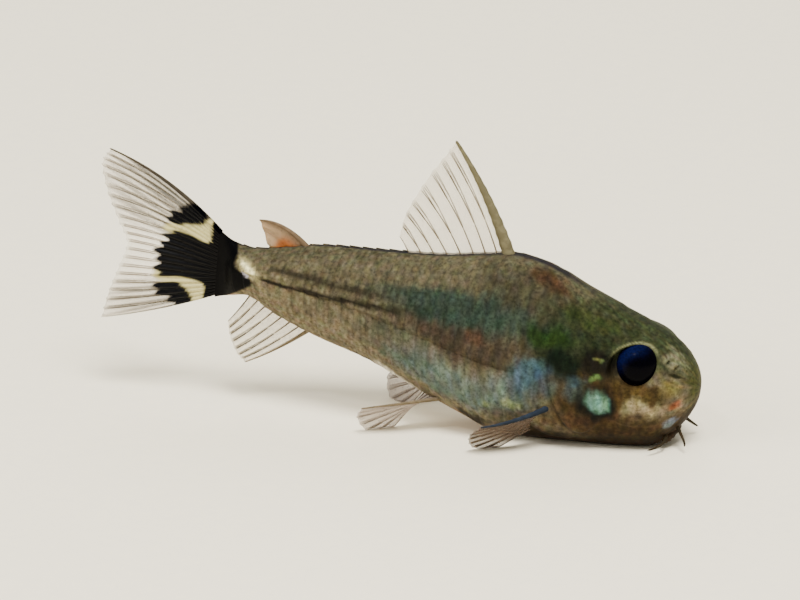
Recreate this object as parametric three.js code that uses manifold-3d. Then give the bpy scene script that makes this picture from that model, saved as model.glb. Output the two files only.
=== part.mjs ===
// A tail-spot dwarf corydoras, life size, resting on the bottom with its tail raised.
// Millimetres. In the fish's own frame +X runs forward along the body axis from the root of the
// tail fin, +Y is the fish's left and +Z its back. The whole fish is then pitched nose down.
import * as THREE from "three";
import { mergeVertices } from "three/addons/utils/BufferGeometryUtils.js";
import Module from "manifold-3d";

const wasm = await Module();
wasm.setup();

// Driving sizes
const SNOUT = 24.25; // standard length: tail fin root to snout tip
const PITCH = THREE.MathUtils.degToRad(4.5);
const LIFT = 7.06; // height of the tail fin root above the floor, in the pose
const MIDDLE = 9.05; // distance from the tail fin root to the middle of the whole length, in the pose
const GAP = 0.3; // left between two pieces that touch

// Body sections: place along the axis, back, belly, half width, height of the widest point
const SECTIONS = [
  { at: 0.0, back: 1.7, belly: -1.8, half: 0.42, wide: 0.0 },
  { at: 0.8, back: 1.22, belly: -1.55, half: 0.62, wide: -0.1 },
  { at: 1.7, back: 1.02, belly: -1.36, half: 0.76, wide: -0.1 },
  { at: 3.4, back: 1.38, belly: -2.15, half: 0.98, wide: -0.3 },
  { at: 5.5, back: 1.8, belly: -2.85, half: 1.32, wide: -0.55 },
  { at: 8.0, back: 2.0, belly: -3.45, half: 1.72, wide: -0.9 },
  { at: 11.0, back: 2.3, belly: -4.62, half: 2.2, wide: -1.5 },
  { at: 13.2, back: 2.72, belly: -5.42, half: 2.48, wide: -2.05 },
  { at: 14.7, back: 2.98, belly: -5.9, half: 2.62, wide: -2.4 },
  { at: 16.2, back: 2.78, belly: -5.88, half: 2.7, wide: -2.5 },
  { at: 18.5, back: 1.76, belly: -5.72, half: 2.68, wide: -2.3 },
  { at: 20.5, back: 0.96, belly: -5.6, half: 2.5, wide: -2.0 },
  { at: 22.2, back: 0.36, belly: -5.4, half: 2.16, wide: -1.9 },
  { at: 23.4, back: -0.04, belly: -4.95, half: 1.8, wide: -1.9 },
  { at: SNOUT, back: -0.25, belly: -4.6, half: 1.6, wide: -1.9 },
];
const SNOUT_TIP_Z = -2.25; // height of the snout's foremost point
const SNOUT_START = 21.9; // where the head starts to round off towards the snout
const SNOUT_POWER = 2.1; // 2 rounds the snout as an ellipse, more makes it blunter
const BACK_POWER = 1.95; // section of the trunk above its widest point: 2 is an ellipse
const ROOF_POWER = 2.0; // the same on the head
const BELLY_POWER = 2.7; // section below it: fuller, with a flat belly

// Scutes: two rows of bony plates on each side, meeting in a line along the flank
const SCUTES = {
  count: 22, from: 0.75, to: 17.1,
  raise: 0.15, // height of a plate's free edge
  seam: 0.46, // share of the way down the flank where the rows meet
  lowest: 0.8, // share at which the lower row ends
  slant: 0.42, // how far back the seam lies of the plates' ends
  reach: 0.42, // share over which that slant fades away
  step: 0.06, // length of the step at the free edge
};
const PLATE_PITCH = (SCUTES.to - SCUTES.from) / SCUTES.count;

// Where the whole body is parted, as lines in side view [x, z]
const GILL_LINE = [
  [16.9, 4.5], [17.35, 1.2], [17.75, -1.2], [18.55, -2.9], [19.3, -4.4], [19.7, -7.0],
];
const TAIL_LINE = [[5.75, 4.5], [5.75, 0.0], [5.95, -4.5]];

const EYE = { x: 21.42, y: 1.42, z: -1.07, radius: 1.1, depth: 0.85, turn: 0.22 };
const NOSTRIL = { x: 23.2, y: 1.25, z: -0.95, radius: 0.22 };
const MOUTH = { x: 23.0, z: -4.72, half: 0.78, reach: 0.42, lip: 0.24, tilt: 0.8 };
const FIN = { rootHalf: 0.29, tipHalf: 0.2, ridge: 0.1 }; // half thicknesses of a fin

const OLIVE = new THREE.MeshStandardMaterial({ color: 0x6f6a4a, roughness: 0.45, metalness: 0.1 });
const HEAD_OLIVE = new THREE.MeshStandardMaterial({ color: 0x5d5c38, roughness: 0.4, metalness: 0.1 });
const CLEAR_FIN = new THREE.MeshStandardMaterial({ color: 0xc9bfa6, roughness: 0.35, metalness: 0 });
const SPOTTED_FIN = new THREE.MeshStandardMaterial({ color: 0x2a2824, roughness: 0.35, metalness: 0 });
const AMBER_FIN = new THREE.MeshStandardMaterial({ color: 0xb9733c, roughness: 0.35, metalness: 0 });
const EYE_BLACK = new THREE.MeshStandardMaterial({ color: 0x07080f, roughness: 0.08, metalness: 0 });
const BARBEL_SKIN = new THREE.MeshStandardMaterial({ color: 0x9a8462, roughness: 0.5, metalness: 0 });

// Smooth helpers

// A function through the sections' values of one field, without overshoot between them.
function along(field) {
  const n = SECTIONS.length;
  const steps = [];
  for (let i = 0; i < n - 1; i++) {
    const run = SECTIONS[i + 1].at - SECTIONS[i].at;
    steps.push((SECTIONS[i + 1][field] - SECTIONS[i][field]) / run);
  }
  const slopes = SECTIONS.map((_, i) => {
    const before = steps[Math.max(i - 1, 0)];
    const after = steps[Math.min(i, n - 2)];
    return before * after <= 0 ? 0 : (2 * before * after) / (before + after);
  });
  return (x) => {
    let i = 0;
    while (i < n - 2 && x > SECTIONS[i + 1].at) i++;
    const run = SECTIONS[i + 1].at - SECTIONS[i].at;
    const t = THREE.MathUtils.clamp((x - SECTIONS[i].at) / run, 0, 1);
    const rise = SECTIONS[i + 1][field] - SECTIONS[i][field];
    const a = slopes[i] * run;
    const b = slopes[i + 1] * run;
    return SECTIONS[i][field] + t * a + t * t * (3 * rise - 2 * a - b) + t * t * t * (a + b - 2 * rise);
  };
}

const backAt = along("back");
const bellyAt = along("belly");
const halfAt = along("half");
const wideAt = along("wide");

const smooth = THREE.MathUtils.smoothstep;
const point = (p) => new THREE.Vector3(p[0], p[1], p[2]);

// The body section at x as { back, belly, half, wide }, closed round at the snout and grown by extra.
function sectionAt(x, extra) {
  const q = THREE.MathUtils.clamp((x - SNOUT_START) / (SNOUT + extra - SNOUT_START), 0, 1);
  const round = Math.pow(1 - Math.pow(q, SNOUT_POWER), 1 / SNOUT_POWER);
  return {
    back: SNOUT_TIP_Z + (backAt(x) - SNOUT_TIP_Z) * round + extra * round,
    belly: SNOUT_TIP_Z + (bellyAt(x) - SNOUT_TIP_Z) * round - extra * round,
    half: (halfAt(x) + extra) * round,
    wide: SNOUT_TIP_Z + (wideAt(x) - SNOUT_TIP_Z) * round,
  };
}

// Height of the scutes' raised edge at ring place x and share f of the way down the flank.
function scuteRaise(x, f) {
  if (x <= SCUTES.from || x >= SCUTES.to) return 0;
  const behind = (SCUTES.to - x) / PLATE_PITCH;
  const towardsEdge = behind - Math.floor(behind + 1e-6);
  const { seam, lowest } = SCUTES;
  const soft = 0.045; // share over which a plate's end falls to the skin
  const upper = smooth(f, 0.03, 0.1) * (1 - smooth(f, seam - soft, seam));
  const lower = smooth(f, seam, seam + soft) * (1 - smooth(f, lowest - 0.06, lowest));
  const slim = smooth(x, SCUTES.from, SCUTES.from + 3);
  return SCUTES.raise * (0.35 + 0.65 * towardsEdge) * (upper + lower) * (0.55 + 0.45 * slim);
}

// Shares of the way down one flank at which the grid has a column: close together at the seams.
const COLUMNS = [
  0, 0.035, 0.1, 0.17, 0.25, 0.33, 0.41, 0.445, 0.46, 0.475, 0.51, 0.58, 0.66, 0.74, 0.8, 0.87, 0.94, 1,
];
const ONLY_FOR_PLATES = [1, 7, 9]; // columns that a body without plates leaves out

// A point of the body surface: ring place x, share f down the flank, side +1 left or -1 right.
function skinPoint(x, f, side, extra, scutes) {
  const s = sectionAt(x, extra);
  const angle = f * Math.PI;
  const up = Math.cos(angle);
  const out = Math.sin(angle);
  const roof = THREE.MathUtils.lerp(BACK_POWER, ROOF_POWER, smooth(x, 17, 21));
  const power = up > 0 ? roof : BELLY_POWER;
  const reach = up > 0 ? s.back - s.wide : s.wide - s.belly;
  const raise = scutes ? scuteRaise(x, f) : 0;
  const y = (s.half + raise) * Math.pow(out, 2 / power);
  const z = s.wide + Math.sign(up) * (reach + raise) * Math.pow(Math.abs(up), 2 / power);
  const chevron = Math.max(0, 1 - Math.abs(f - SCUTES.seam) / SCUTES.reach) * SCUTES.slant;
  const fade = smooth(x, 0.3, 1.6) * (1 - smooth(x, 16.8, 18.6));
  return new THREE.Vector3(x - chevron * fade, side * y, z);
}

// Ring places: two for each scute, at its free edge and just past it, then finer ones on the head.
function ringPlaces(scutes) {
  const places = [0, 0.35];
  if (scutes) {
    for (let i = 0; i < SCUTES.count; i++) {
      const edge = SCUTES.from + i * PLATE_PITCH;
      places.push(edge + 0.001, edge + PLATE_PITCH - SCUTES.step);
    }
  } else {
    for (let x = SCUTES.from; x < SCUTES.to; x += 1.2) places.push(x);
  }
  const headRings = scutes ? 18 : 12;
  const headStart = SCUTES.to + 0.15;
  for (let i = 0; i < headRings; i++) {
    places.push(headStart + (SNOUT - headStart) * Math.sin(((i / headRings) * Math.PI) / 2));
  }
  return places;
}

// A closed mesh geometry from rings of points with a pole point at each end.
function loft(rings, firstPole, lastPole) {
  const count = rings[0].length;
  const vertices = [firstPole, ...rings.flat(), lastPole];
  const last = vertices.length - 1;
  const faces = [];
  const at = (ring, k) => 1 + ring * count + (k % count);
  for (let k = 0; k < count; k++) {
    faces.push(0, at(0, k + 1), at(0, k));
    faces.push(last, at(rings.length - 1, k), at(rings.length - 1, k + 1));
  }
  for (let r = 0; r < rings.length - 1; r++)
    for (let k = 0; k < count; k++) {
      faces.push(at(r, k), at(r, k + 1), at(r + 1, k + 1));
      faces.push(at(r, k), at(r + 1, k + 1), at(r + 1, k));
    }
  const geometry = new THREE.BufferGeometry().setFromPoints(vertices);
  geometry.setIndex(faces);
  return geometry;
}

function bodyGeometry(extra, scutes) {
  const columns = scutes ? COLUMNS : COLUMNS.filter((_, i) => !ONLY_FOR_PLATES.includes(i));
  const shares = [...columns, ...columns.slice(1, -1).reverse()];
  const rings = ringPlaces(scutes).map((x) =>
    shares.map((f, k) => skinPoint(x, f, k < columns.length ? -1 : 1, extra, scutes)),
  );
  const tail = sectionAt(0, extra);
  const first = new THREE.Vector3(-extra, 0, tail.wide);
  return loft(rings, first, new THREE.Vector3(SNOUT + extra, 0, SNOUT_TIP_Z));
}

// Solids: closed geometries as manifold-3d solids and back

function solid(geometry) {
  const bare = new THREE.BufferGeometry().setAttribute("position", geometry.getAttribute("position"));
  bare.setIndex(geometry.index);
  const merged = mergeVertices(bare, 1e-4);
  const vertProperties = merged.attributes.position.array;
  const triVerts = new Uint32Array(merged.index.array);
  const made = new wasm.Manifold(new wasm.Mesh({ numProp: 3, vertProperties, triVerts }));
  if (made.volume() > 0) return made;
  for (let i = 0; i < triVerts.length; i += 3) {
    [triVerts[i + 1], triVerts[i + 2]] = [triVerts[i + 2], triVerts[i + 1]];
  }
  return new wasm.Manifold(new wasm.Mesh({ numProp: 3, vertProperties, triVerts }));
}

const largest = (made) => made.decompose().sort((a, b) => b.volume() - a.volume())[0];

function meshOf(name, made, material) {
  const data = largest(made).getMesh();
  const geometry = new THREE.BufferGeometry();
  geometry.setAttribute("position", new THREE.BufferAttribute(data.vertProperties, 3));
  geometry.setIndex(new THREE.BufferAttribute(data.triVerts, 1));
  geometry.computeVertexNormals();
  const mesh = new THREE.Mesh(geometry, material);
  mesh.name = name;
  return mesh;
}

// A prism across the fish from an outline in side view.
function prism(outline, fromY, toY) {
  const shape = new THREE.Shape(outline.map(([x, z]) => new THREE.Vector2(x, z)));
  const geometry = new THREE.ExtrudeGeometry(shape, { depth: toY - fromY, bevelEnabled: false });
  geometry.rotateX(Math.PI / 2);
  geometry.translate(0, toY, 0);
  return solid(geometry);
}

// Everything between two copies of a line, shifted forward and back by half the gap.
function partingSlab(line) {
  const curve = new THREE.SplineCurve(line.map(([x, z]) => new THREE.Vector2(x, z))).getPoints(14);
  const front = curve.map((p) => [p.x + GAP / 2, p.y]);
  const rear = curve.map((p) => [p.x - GAP / 2, p.y]).reverse();
  return prism([...front, ...rear], -6, 6);
}

function ball(x, y, z, radius, across = 16, depth = radius) {
  const geometry = new THREE.SphereGeometry(radius, across, Math.round(across * 0.6));
  geometry.rotateX(Math.PI / 2);
  geometry.scale(1, depth / radius, 1);
  geometry.rotateZ(-Math.sign(y) * EYE.turn);
  geometry.translate(x, y, z);
  return solid(geometry);
}

// A tapered round feeler along a curve, with a rounded tip.
function feeler(points, rootRadius, tipRadius) {
  const sides = 8;
  const steps = 7;
  const curve = new THREE.CatmullRomCurve3(points.map(point));
  const frames = curve.computeFrenetFrames(steps, false);
  const rings = [];
  for (let i = 0; i <= steps; i++) {
    const radius = THREE.MathUtils.lerp(rootRadius, tipRadius, i / steps);
    const centre = curve.getPointAt(i / steps);
    rings.push(Array.from({ length: sides }, (_, k) => {
      const angle = (k / sides) * Math.PI * 2;
      return centre.clone()
        .addScaledVector(frames.normals[i], Math.cos(angle) * radius)
        .addScaledVector(frames.binormals[i], Math.sin(angle) * radius);
    }));
  }
  const tip = curve.getPointAt(1).addScaledVector(frames.tangents[steps], tipRadius * 0.8);
  return solid(loft(rings, curve.getPointAt(0), tip));
}

// A fin: a membrane from a root line to a margin, with a raised ridge along each ray.
// root and margin are lists of points from the leading edge to the trailing edge, bow is how far
// each ray bows, as a vector at the leading edge and one at the trailing edge.
function fin({ root, margin, bow, rays, rows, spine = 0.12, notch = 0.05, thick = 1 }) {
  const rootLine = new THREE.CatmullRomCurve3(root.map(point));
  const marginLine = new THREE.CatmullRomCurve3(margin.map(point));
  const bows = bow.map(point);
  const columns = [];
  for (let i = 0; i < rays; i++) {
    const u = i / (rays - 1);
    const side = 0.24 / (rays - 1);
    if (i > 0) columns.push({ u: u - side, crest: 0 });
    columns.push({ u, crest: i === 0 ? 1.3 : 1 });
    if (i < rays - 1) columns.push({ u: u + side * (i === 0 ? 1.3 : 1), crest: 0 });
  }
  const centre = (u, v) => {
    const from = rootLine.getPoint(u);
    const to = marginLine.getPoint(u);
    const lean = bows[0].clone().lerp(bows[1], u);
    return from.lerp(to, v).addScaledVector(lean, 4 * v * (1 - v));
  };
  const normal = (u, v) => {
    const e = 0.02;
    const across = centre(Math.min(u + e, 1), v).sub(centre(Math.max(u - e, 0), v));
    const out = centre(u, Math.min(v + e, 1)).sub(centre(u, Math.max(v - e, 0)));
    return across.cross(out).normalize();
  };
  const front = [];
  const rear = [];
  for (const { u, crest } of columns) {
    const end = crest ? 1 : 1 - notch;
    for (let j = 0; j <= rows; j++) {
      const v = (j / rows) * end;
      const taper = THREE.MathUtils.lerp(FIN.rootHalf, FIN.tipHalf, Math.pow(v, 0.8)) * thick;
      const leading = u === 0 ? spine * (1 - 0.75 * v) : 0;
      const half = taper + FIN.ridge * crest * (1 - 0.7 * v) + leading;
      const at = centre(u, v);
      const across = normal(u, v);
      front.push(at.clone().addScaledVector(across, half));
      rear.push(at.clone().addScaledVector(across, -half));
    }
  }
  const span = rows + 1;
  const vertices = [...front, ...rear];
  const under = front.length;
  const faces = [];
  const quad = (a, b, c, d) => faces.push(a, b, c, a, c, d);
  for (let i = 0; i < columns.length - 1; i++) {
    for (let j = 0; j < rows; j++) {
      const a = i * span + j;
      const b = a + span;
      faces.push(a, b, b + 1, a, b + 1, a + 1);
      faces.push(under + a, under + b + 1, under + b, under + a, under + a + 1, under + b + 1);
    }
    const a = i * span;
    quad(under + a, under + a + span, a + span, a);
    quad(a + rows, a + rows + span, under + a + rows + span, under + a + rows);
  }
  const end = (columns.length - 1) * span;
  for (let j = 0; j < rows; j++) {
    quad(j, j + 1, under + j + 1, under + j);
    quad(end + j + 1, end + j, under + end + j, under + end + j + 1);
  }
  const geometry = new THREE.BufferGeometry().setFromPoints(vertices);
  geometry.setIndex(faces);
  return solid(geometry);
}

// The pose: pitched nose down and lifted so that the lowest parts are cut flat by the floor
const fish = new THREE.Group();
fish.rotation.y = PITCH;
fish.position.set(-MIDDLE, 0, LIFT);
fish.updateMatrixWorld(true);

function belowFloor() {
  const slab = new THREE.BoxGeometry(80, 40, 10).translate(0, 0, -5);
  return solid(slab.applyMatrix4(fish.matrixWorld.clone().invert()));
}

const floor = belowFloor();
const bodyGrown = solid(bodyGeometry(GAP + 0.1, false));

// Bony plates of the head, as outlines in side view [x, z]
const GILL_COVER = [
  [17.2, 0.1], [19.0, 0.3], [20.0, -0.9], [20.25, -2.6], [19.9, -4.0], [18.9, -4.7], [17.6, -3.6], [16.8, -1.8],
];
const CHEEK = [[20.45, -2.6], [22.3, -2.45], [22.7, -3.2], [21.7, -4.0], [20.5, -3.7]];
const NAPE = [[17.6, 5.0], [20.4, 5.0], [20.1, 0.75], [18.9, 0.95], [17.9, 1.35], [17.0, 2.0]];

const frontFirst = (a, b) => b.boundingBox().max[0] - a.boundingBox().max[0];

// A plate raised on the head: its outline's prism within a slightly grown body.
function headPlate(outline, height) {
  const closed = new THREE.CatmullRomCurve3(outline.map(([x, z]) => new THREE.Vector3(x, 0, z)), true);
  const edge = closed.getPoints(22).slice(0, -1).map((p) => [p.x, p.z]);
  const raised = prism(edge, -5, 5).intersect(solid(bodyGeometry(height, false)));
  return raised.subtract(partingSlab(GILL_LINE)).decompose().sort(frontFirst)[0];
}

function lips() {
  const geometry = new THREE.TorusGeometry(MOUTH.half, MOUTH.lip, 6, 16);
  geometry.scale(MOUTH.reach / MOUTH.half, 1, 1);
  geometry.rotateY(-MOUTH.tilt);
  geometry.translate(MOUTH.x, 0, MOUTH.z);
  return solid(geometry);
}

// The narrow opening between the lips.
function mouthLine() {
  const geometry = new THREE.SphereGeometry(1, 12, 8);
  geometry.scale(0.11, MOUTH.half * 0.8, 0.42);
  geometry.rotateY(-MOUTH.tilt);
  geometry.translate(MOUTH.x, 0, MOUTH.z);
  return solid(geometry);
}

function orbitRim(side) {
  const geometry = new THREE.TorusGeometry(EYE.radius + 0.17, 0.17, 6, 20);
  geometry.rotateX(Math.PI / 2);
  geometry.rotateZ(-side * EYE.turn);
  geometry.translate(EYE.x, side * (EYE.y + 0.22), EYE.z);
  return solid(geometry);
}

function makeHead(blank) {
  let head = blank.add(lips());
  head = head.add(headPlate(GILL_COVER, 0.14)).add(headPlate(CHEEK, 0.1)).add(headPlate(NAPE, 0.1));
  head = head.subtract(mouthLine());
  for (const side of [-1, 1]) {
    head = head.add(orbitRim(side));
    head = head.subtract(ball(EYE.x, side * EYE.y, EYE.z, EYE.radius + GAP, 20, EYE.depth + GAP));
    head = head.subtract(ball(NOSTRIL.x, side * NOSTRIL.y, NOSTRIL.z, NOSTRIL.radius, 8));
  }
  return head.subtract(floor);
}

function eye(side) {
  return ball(EYE.x, side * EYE.y, EYE.z, EYE.radius, 20, EYE.depth);
}

// Fins, each from its root line to its margin, leading edge first

function dorsalFin() {
  return fin({
    root: [[14.6, 0, 2.2], [12.4, 0, 1.7], [9.9, 0, 1.3]],
    margin: [
      [11.3, 0, 8.15], [10.85, 0, 7.35], [10.2, 0, 6.3], [9.5, 0, 4.9], [9.1, 0, 3.9], [8.95, 0, 2.85],
    ],
    bow: [[0.25, 0, 0.1], [-0.1, 0, 0.25]],
    rays: 9,
    rows: 7,
    spine: 0.1,
  });
}

function adiposeFin() {
  return fin({
    root: [[4.75, 0, 1.2], [3.6, 0, 0.95], [2.9, 0, 0.7]],
    margin: [[1.95, 0, 2.5], [2.15, 0, 2.1], [2.45, 0, 1.35]],
    bow: [[0.0, 0, 0.42], [0, 0, 0.1]],
    rays: 3,
    rows: 5,
    spine: 0.06,
    thick: 0.9,
  });
}

function analFin() {
  return fin({
    root: [[5.15, 0, -2.4], [3.6, 0, -1.7], [2.05, 0, -0.9]],
    margin: [[1.75, 0, -4.9], [1.3, 0, -4.5], [0.9, 0, -3.7], [0.75, 0, -2.95]],
    bow: [[0, 0, -0.15], [0, 0, -0.1]],
    rays: 7,
    rows: 5,
    spine: 0.04,
  });
}

function tailFin() {
  return fin({
    root: [[-GAP, 0, 1.72], [-GAP, 0, 0.6], [-GAP, 0, -0.6], [-GAP, 0, -1.82]],
    margin: [
      [-5.75, 0, 4.9], [-6.1, 0, 4.1], [-5.75, 0, 2.7], [-5.1, 0, 1.3], [-4.6, 0, 0.2],
      [-4.95, 0, -1.1], [-5.35, 0, -2.4], [-5.65, 0, -3.85],
    ],
    bow: [[0.12, 0, 0.42], [0.1, 0, -0.12]],
    rays: 14,
    rows: 7,
    spine: 0.04,
    thick: 0.95,
  });
}

function pectoralFin(side) {
  return fin({
    root: [[18.2, side * 1.7, -3.2], [17.7, side * 1.7, -3.9], [17.1, side * 1.6, -4.7]],
    margin: [
      [14.7, side * 4.5, -4.35], [14.1, side * 4.2, -5.0], [14.1, side * 3.6, -5.75], [14.9, side * 2.9, -6.2],
    ],
    bow: [[0.1, side * 0.35, -0.1], [0, side * 0.3, 0.1]],
    rays: 7,
    rows: 6,
    spine: 0.08,
    thick: 0.95,
  });
}

function pelvicFin(side) {
  return fin({
    root: [[12.9, side * 1.0, -4.3], [12.3, side * 0.95, -4.2], [11.4, side * 0.85, -4.0]],
    margin: [
      [8.5, side * 3.2, -4.95], [8.2, side * 2.8, -5.6], [8.6, side * 2.2, -6.45], [9.6, side * 1.5, -6.6],
    ],
    bow: [[0, side * 0.35, 0.1], [0, side * 0.15, 0.1]],
    rays: 6,
    rows: 5,
    spine: 0.04,
    thick: 0.95,
  });
}

// Feelers: an upper and a lower one from each corner of the mouth
const FEELERS = {
  upper: [[23.2, 0.5, -3.9], [23.6, 0.85, -4.3], [24.0, 1.35, -4.75], [23.9, 2.0, -4.92]],
  lower: [[22.8, 0.6, -4.3], [23.0, 1.3, -4.75], [22.5, 2.1, -4.98], [21.6, 2.7, -5.06]],
};
const FEELER_RADIUS = { root: 0.28, tip: 0.14 };

function barbel(line, side) {
  const placed = line.map(([x, y, z]) => [x, side * y, z]);
  return feeler(placed, FEELER_RADIUS.root, FEELER_RADIUS.tip);
}

// Parting the whole body into its named lengths
const whole = solid(bodyGeometry(0, true));
const [headBlank, trunk] = whole.subtract(partingSlab(GILL_LINE)).decompose().sort(frontFirst);
const [torsoBlank, tailBlank] = trunk.subtract(partingSlab(TAIL_LINE)).decompose().sort(frontFirst);
const head = makeHead(headBlank);

const clear = (made) => made.subtract(bodyGrown).subtract(floor);

fish.add(meshOf("head", head, HEAD_OLIVE));
fish.add(meshOf("torso", torsoBlank.subtract(floor), OLIVE));
fish.add(meshOf("tail", tailBlank, OLIVE));
fish.add(meshOf("fin_dorsal", clear(dorsalFin()), CLEAR_FIN));
fish.add(meshOf("fin_adipose", clear(adiposeFin()), AMBER_FIN));
fish.add(meshOf("fin_anal", clear(analFin()), CLEAR_FIN));
fish.add(meshOf("fin_tail", tailFin(), SPOTTED_FIN));
for (const [name, side] of [["left", 1], ["right", -1]]) {
  fish.add(meshOf(`eye_${name}`, eye(side), EYE_BLACK));
  fish.add(meshOf(`fin_pectoral_${name}`, clear(pectoralFin(side)), CLEAR_FIN));
  fish.add(meshOf(`fin_pelvic_${name}`, clear(pelvicFin(side)), CLEAR_FIN));
  for (const [place, line] of Object.entries(FEELERS)) {
    fish.add(meshOf(`barbel_${place}_${name}`, clear(barbel(line, side)), BARBEL_SKIN));
  }
}

export default fish;
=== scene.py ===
"""A tail-spot dwarf corydoras, life size, resting on its belly in a plain studio.

Sizes here are millimetres in the fish's own frame: +X runs forward along the body axis from the root of
the tail fin, +Y is the fish's left and +Z its back. Pose.world turns them into the scene's metres.
"""
import logging
import math
from dataclasses import dataclass, field
from enum import Enum
from typing import Callable, Iterable, Sequence

import bmesh
import bpy
import numpy as np
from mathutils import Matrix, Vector


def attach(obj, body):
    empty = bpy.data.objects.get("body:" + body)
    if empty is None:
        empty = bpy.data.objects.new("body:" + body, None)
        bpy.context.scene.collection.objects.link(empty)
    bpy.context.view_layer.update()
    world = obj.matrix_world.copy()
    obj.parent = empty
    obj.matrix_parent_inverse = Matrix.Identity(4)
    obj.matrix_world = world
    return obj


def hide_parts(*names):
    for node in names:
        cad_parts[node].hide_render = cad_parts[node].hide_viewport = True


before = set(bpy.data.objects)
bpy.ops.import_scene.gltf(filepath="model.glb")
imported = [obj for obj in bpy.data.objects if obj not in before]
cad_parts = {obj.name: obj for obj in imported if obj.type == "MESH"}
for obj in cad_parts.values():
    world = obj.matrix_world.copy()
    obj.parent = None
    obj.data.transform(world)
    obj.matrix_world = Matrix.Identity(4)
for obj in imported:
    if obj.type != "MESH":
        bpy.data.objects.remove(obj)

LOG = logging.getLogger("corydoras")
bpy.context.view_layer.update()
BODY = "root"
COAT = "Coat"
BAKE_MAP = "OFBake"
MERGE = 2e-6  # metres: closer points than this are one point
EDGE = 1e-6  # shares this close to 0 or 1 are on an end or on the middle line
TINY = 1e-9  # keeps a division by a length from failing
Array = np.ndarray
Place = tuple[float, float]
Point = tuple[float, float, float]
Wave = tuple[float, float, int]


class Side(Enum):
    """The fish's own left and right."""

    LEFT = 1
    RIGHT = -1

    @property
    def word(self) -> str:
        """The side's name as the CAD nodes spell it."""
        return self.name.lower()


def smooth(x: Array, low: float, high: float) -> Array:
    """A smooth step from 0 at low to 1 at high."""
    t = np.clip((np.asarray(x, float) - low) / (high - low), 0.0, 1.0)
    return t * t * (3 - 2 * t)


def bell(x: Array, middle: float, width: float) -> Array:
    """1 at the middle, falling to nothing about twice the width away."""
    return np.exp(-(((x - middle) / width) ** 2))


def unit(vectors: Array) -> Array:
    """Vectors brought to a length of 1."""
    return vectors / np.maximum(np.linalg.norm(vectors, axis=-1, keepdims=True), TINY)


def cloud(x: Array, y: Array, size: float, seed: int) -> Array:
    """Smooth irregular waves in the range -1 to 1, about size mm across, the same each run."""
    count = 9
    total = np.zeros(np.shape(x))
    for turn, stretch, phase in np.random.default_rng(seed).random((count, 3)):
        angle, rate = turn * np.pi, 2 * np.pi / size * (0.6 + 0.8 * stretch)
        total += np.sin((x * math.cos(angle) + y * math.sin(angle)) * rate + phase * 2 * np.pi)
    return np.clip(total / math.sqrt(2 * count), -1, 1)


def clouds(x: Array, y: Array, waves: Iterable[Wave]) -> Array:
    """Several clouds together, each given by its amount, its size in mm and its seed."""
    return sum(amount * cloud(x, y, size, seed) for amount, size, seed in waves)


def linear(hex_colour: str) -> tuple[float, float, float]:
    """An sRGB hex colour as linear red, green and blue."""
    parts = (int(hex_colour[i : i + 2], 16) / 255 for i in (1, 3, 5))
    return tuple(p / 12.92 if p <= 0.04045 else ((p + 0.055) / 1.055) ** 2.4 for p in parts)


# The pose and the form of the body, as in the solids


@dataclass(frozen=True)
class Pose:
    """Where the fish's own frame lies in the scene."""

    pitch: float = math.radians(4.5)  # nose down
    lift: float = 7.06  # height of the tail's root over the floor
    middle: float = 9.05  # how far the scene's middle is in front of it

    def world(self, points: Array) -> Array:
        """Points in the fish's frame, in mm, as points in the scene, in metres."""
        x, y, z = np.moveaxis(np.asarray(points, float), -1, 0)
        cos, sin = math.cos(self.pitch), math.sin(self.pitch)
        turned = (x * cos + z * sin - self.middle, y, -x * sin + z * cos + self.lift)
        return np.stack(turned, -1) / 1000

    def floor(self, x: Array) -> Array:
        """Height of the floor in the fish's frame at place x."""
        return (-self.lift + np.asarray(x) * math.sin(self.pitch)) / math.cos(self.pitch)


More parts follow.
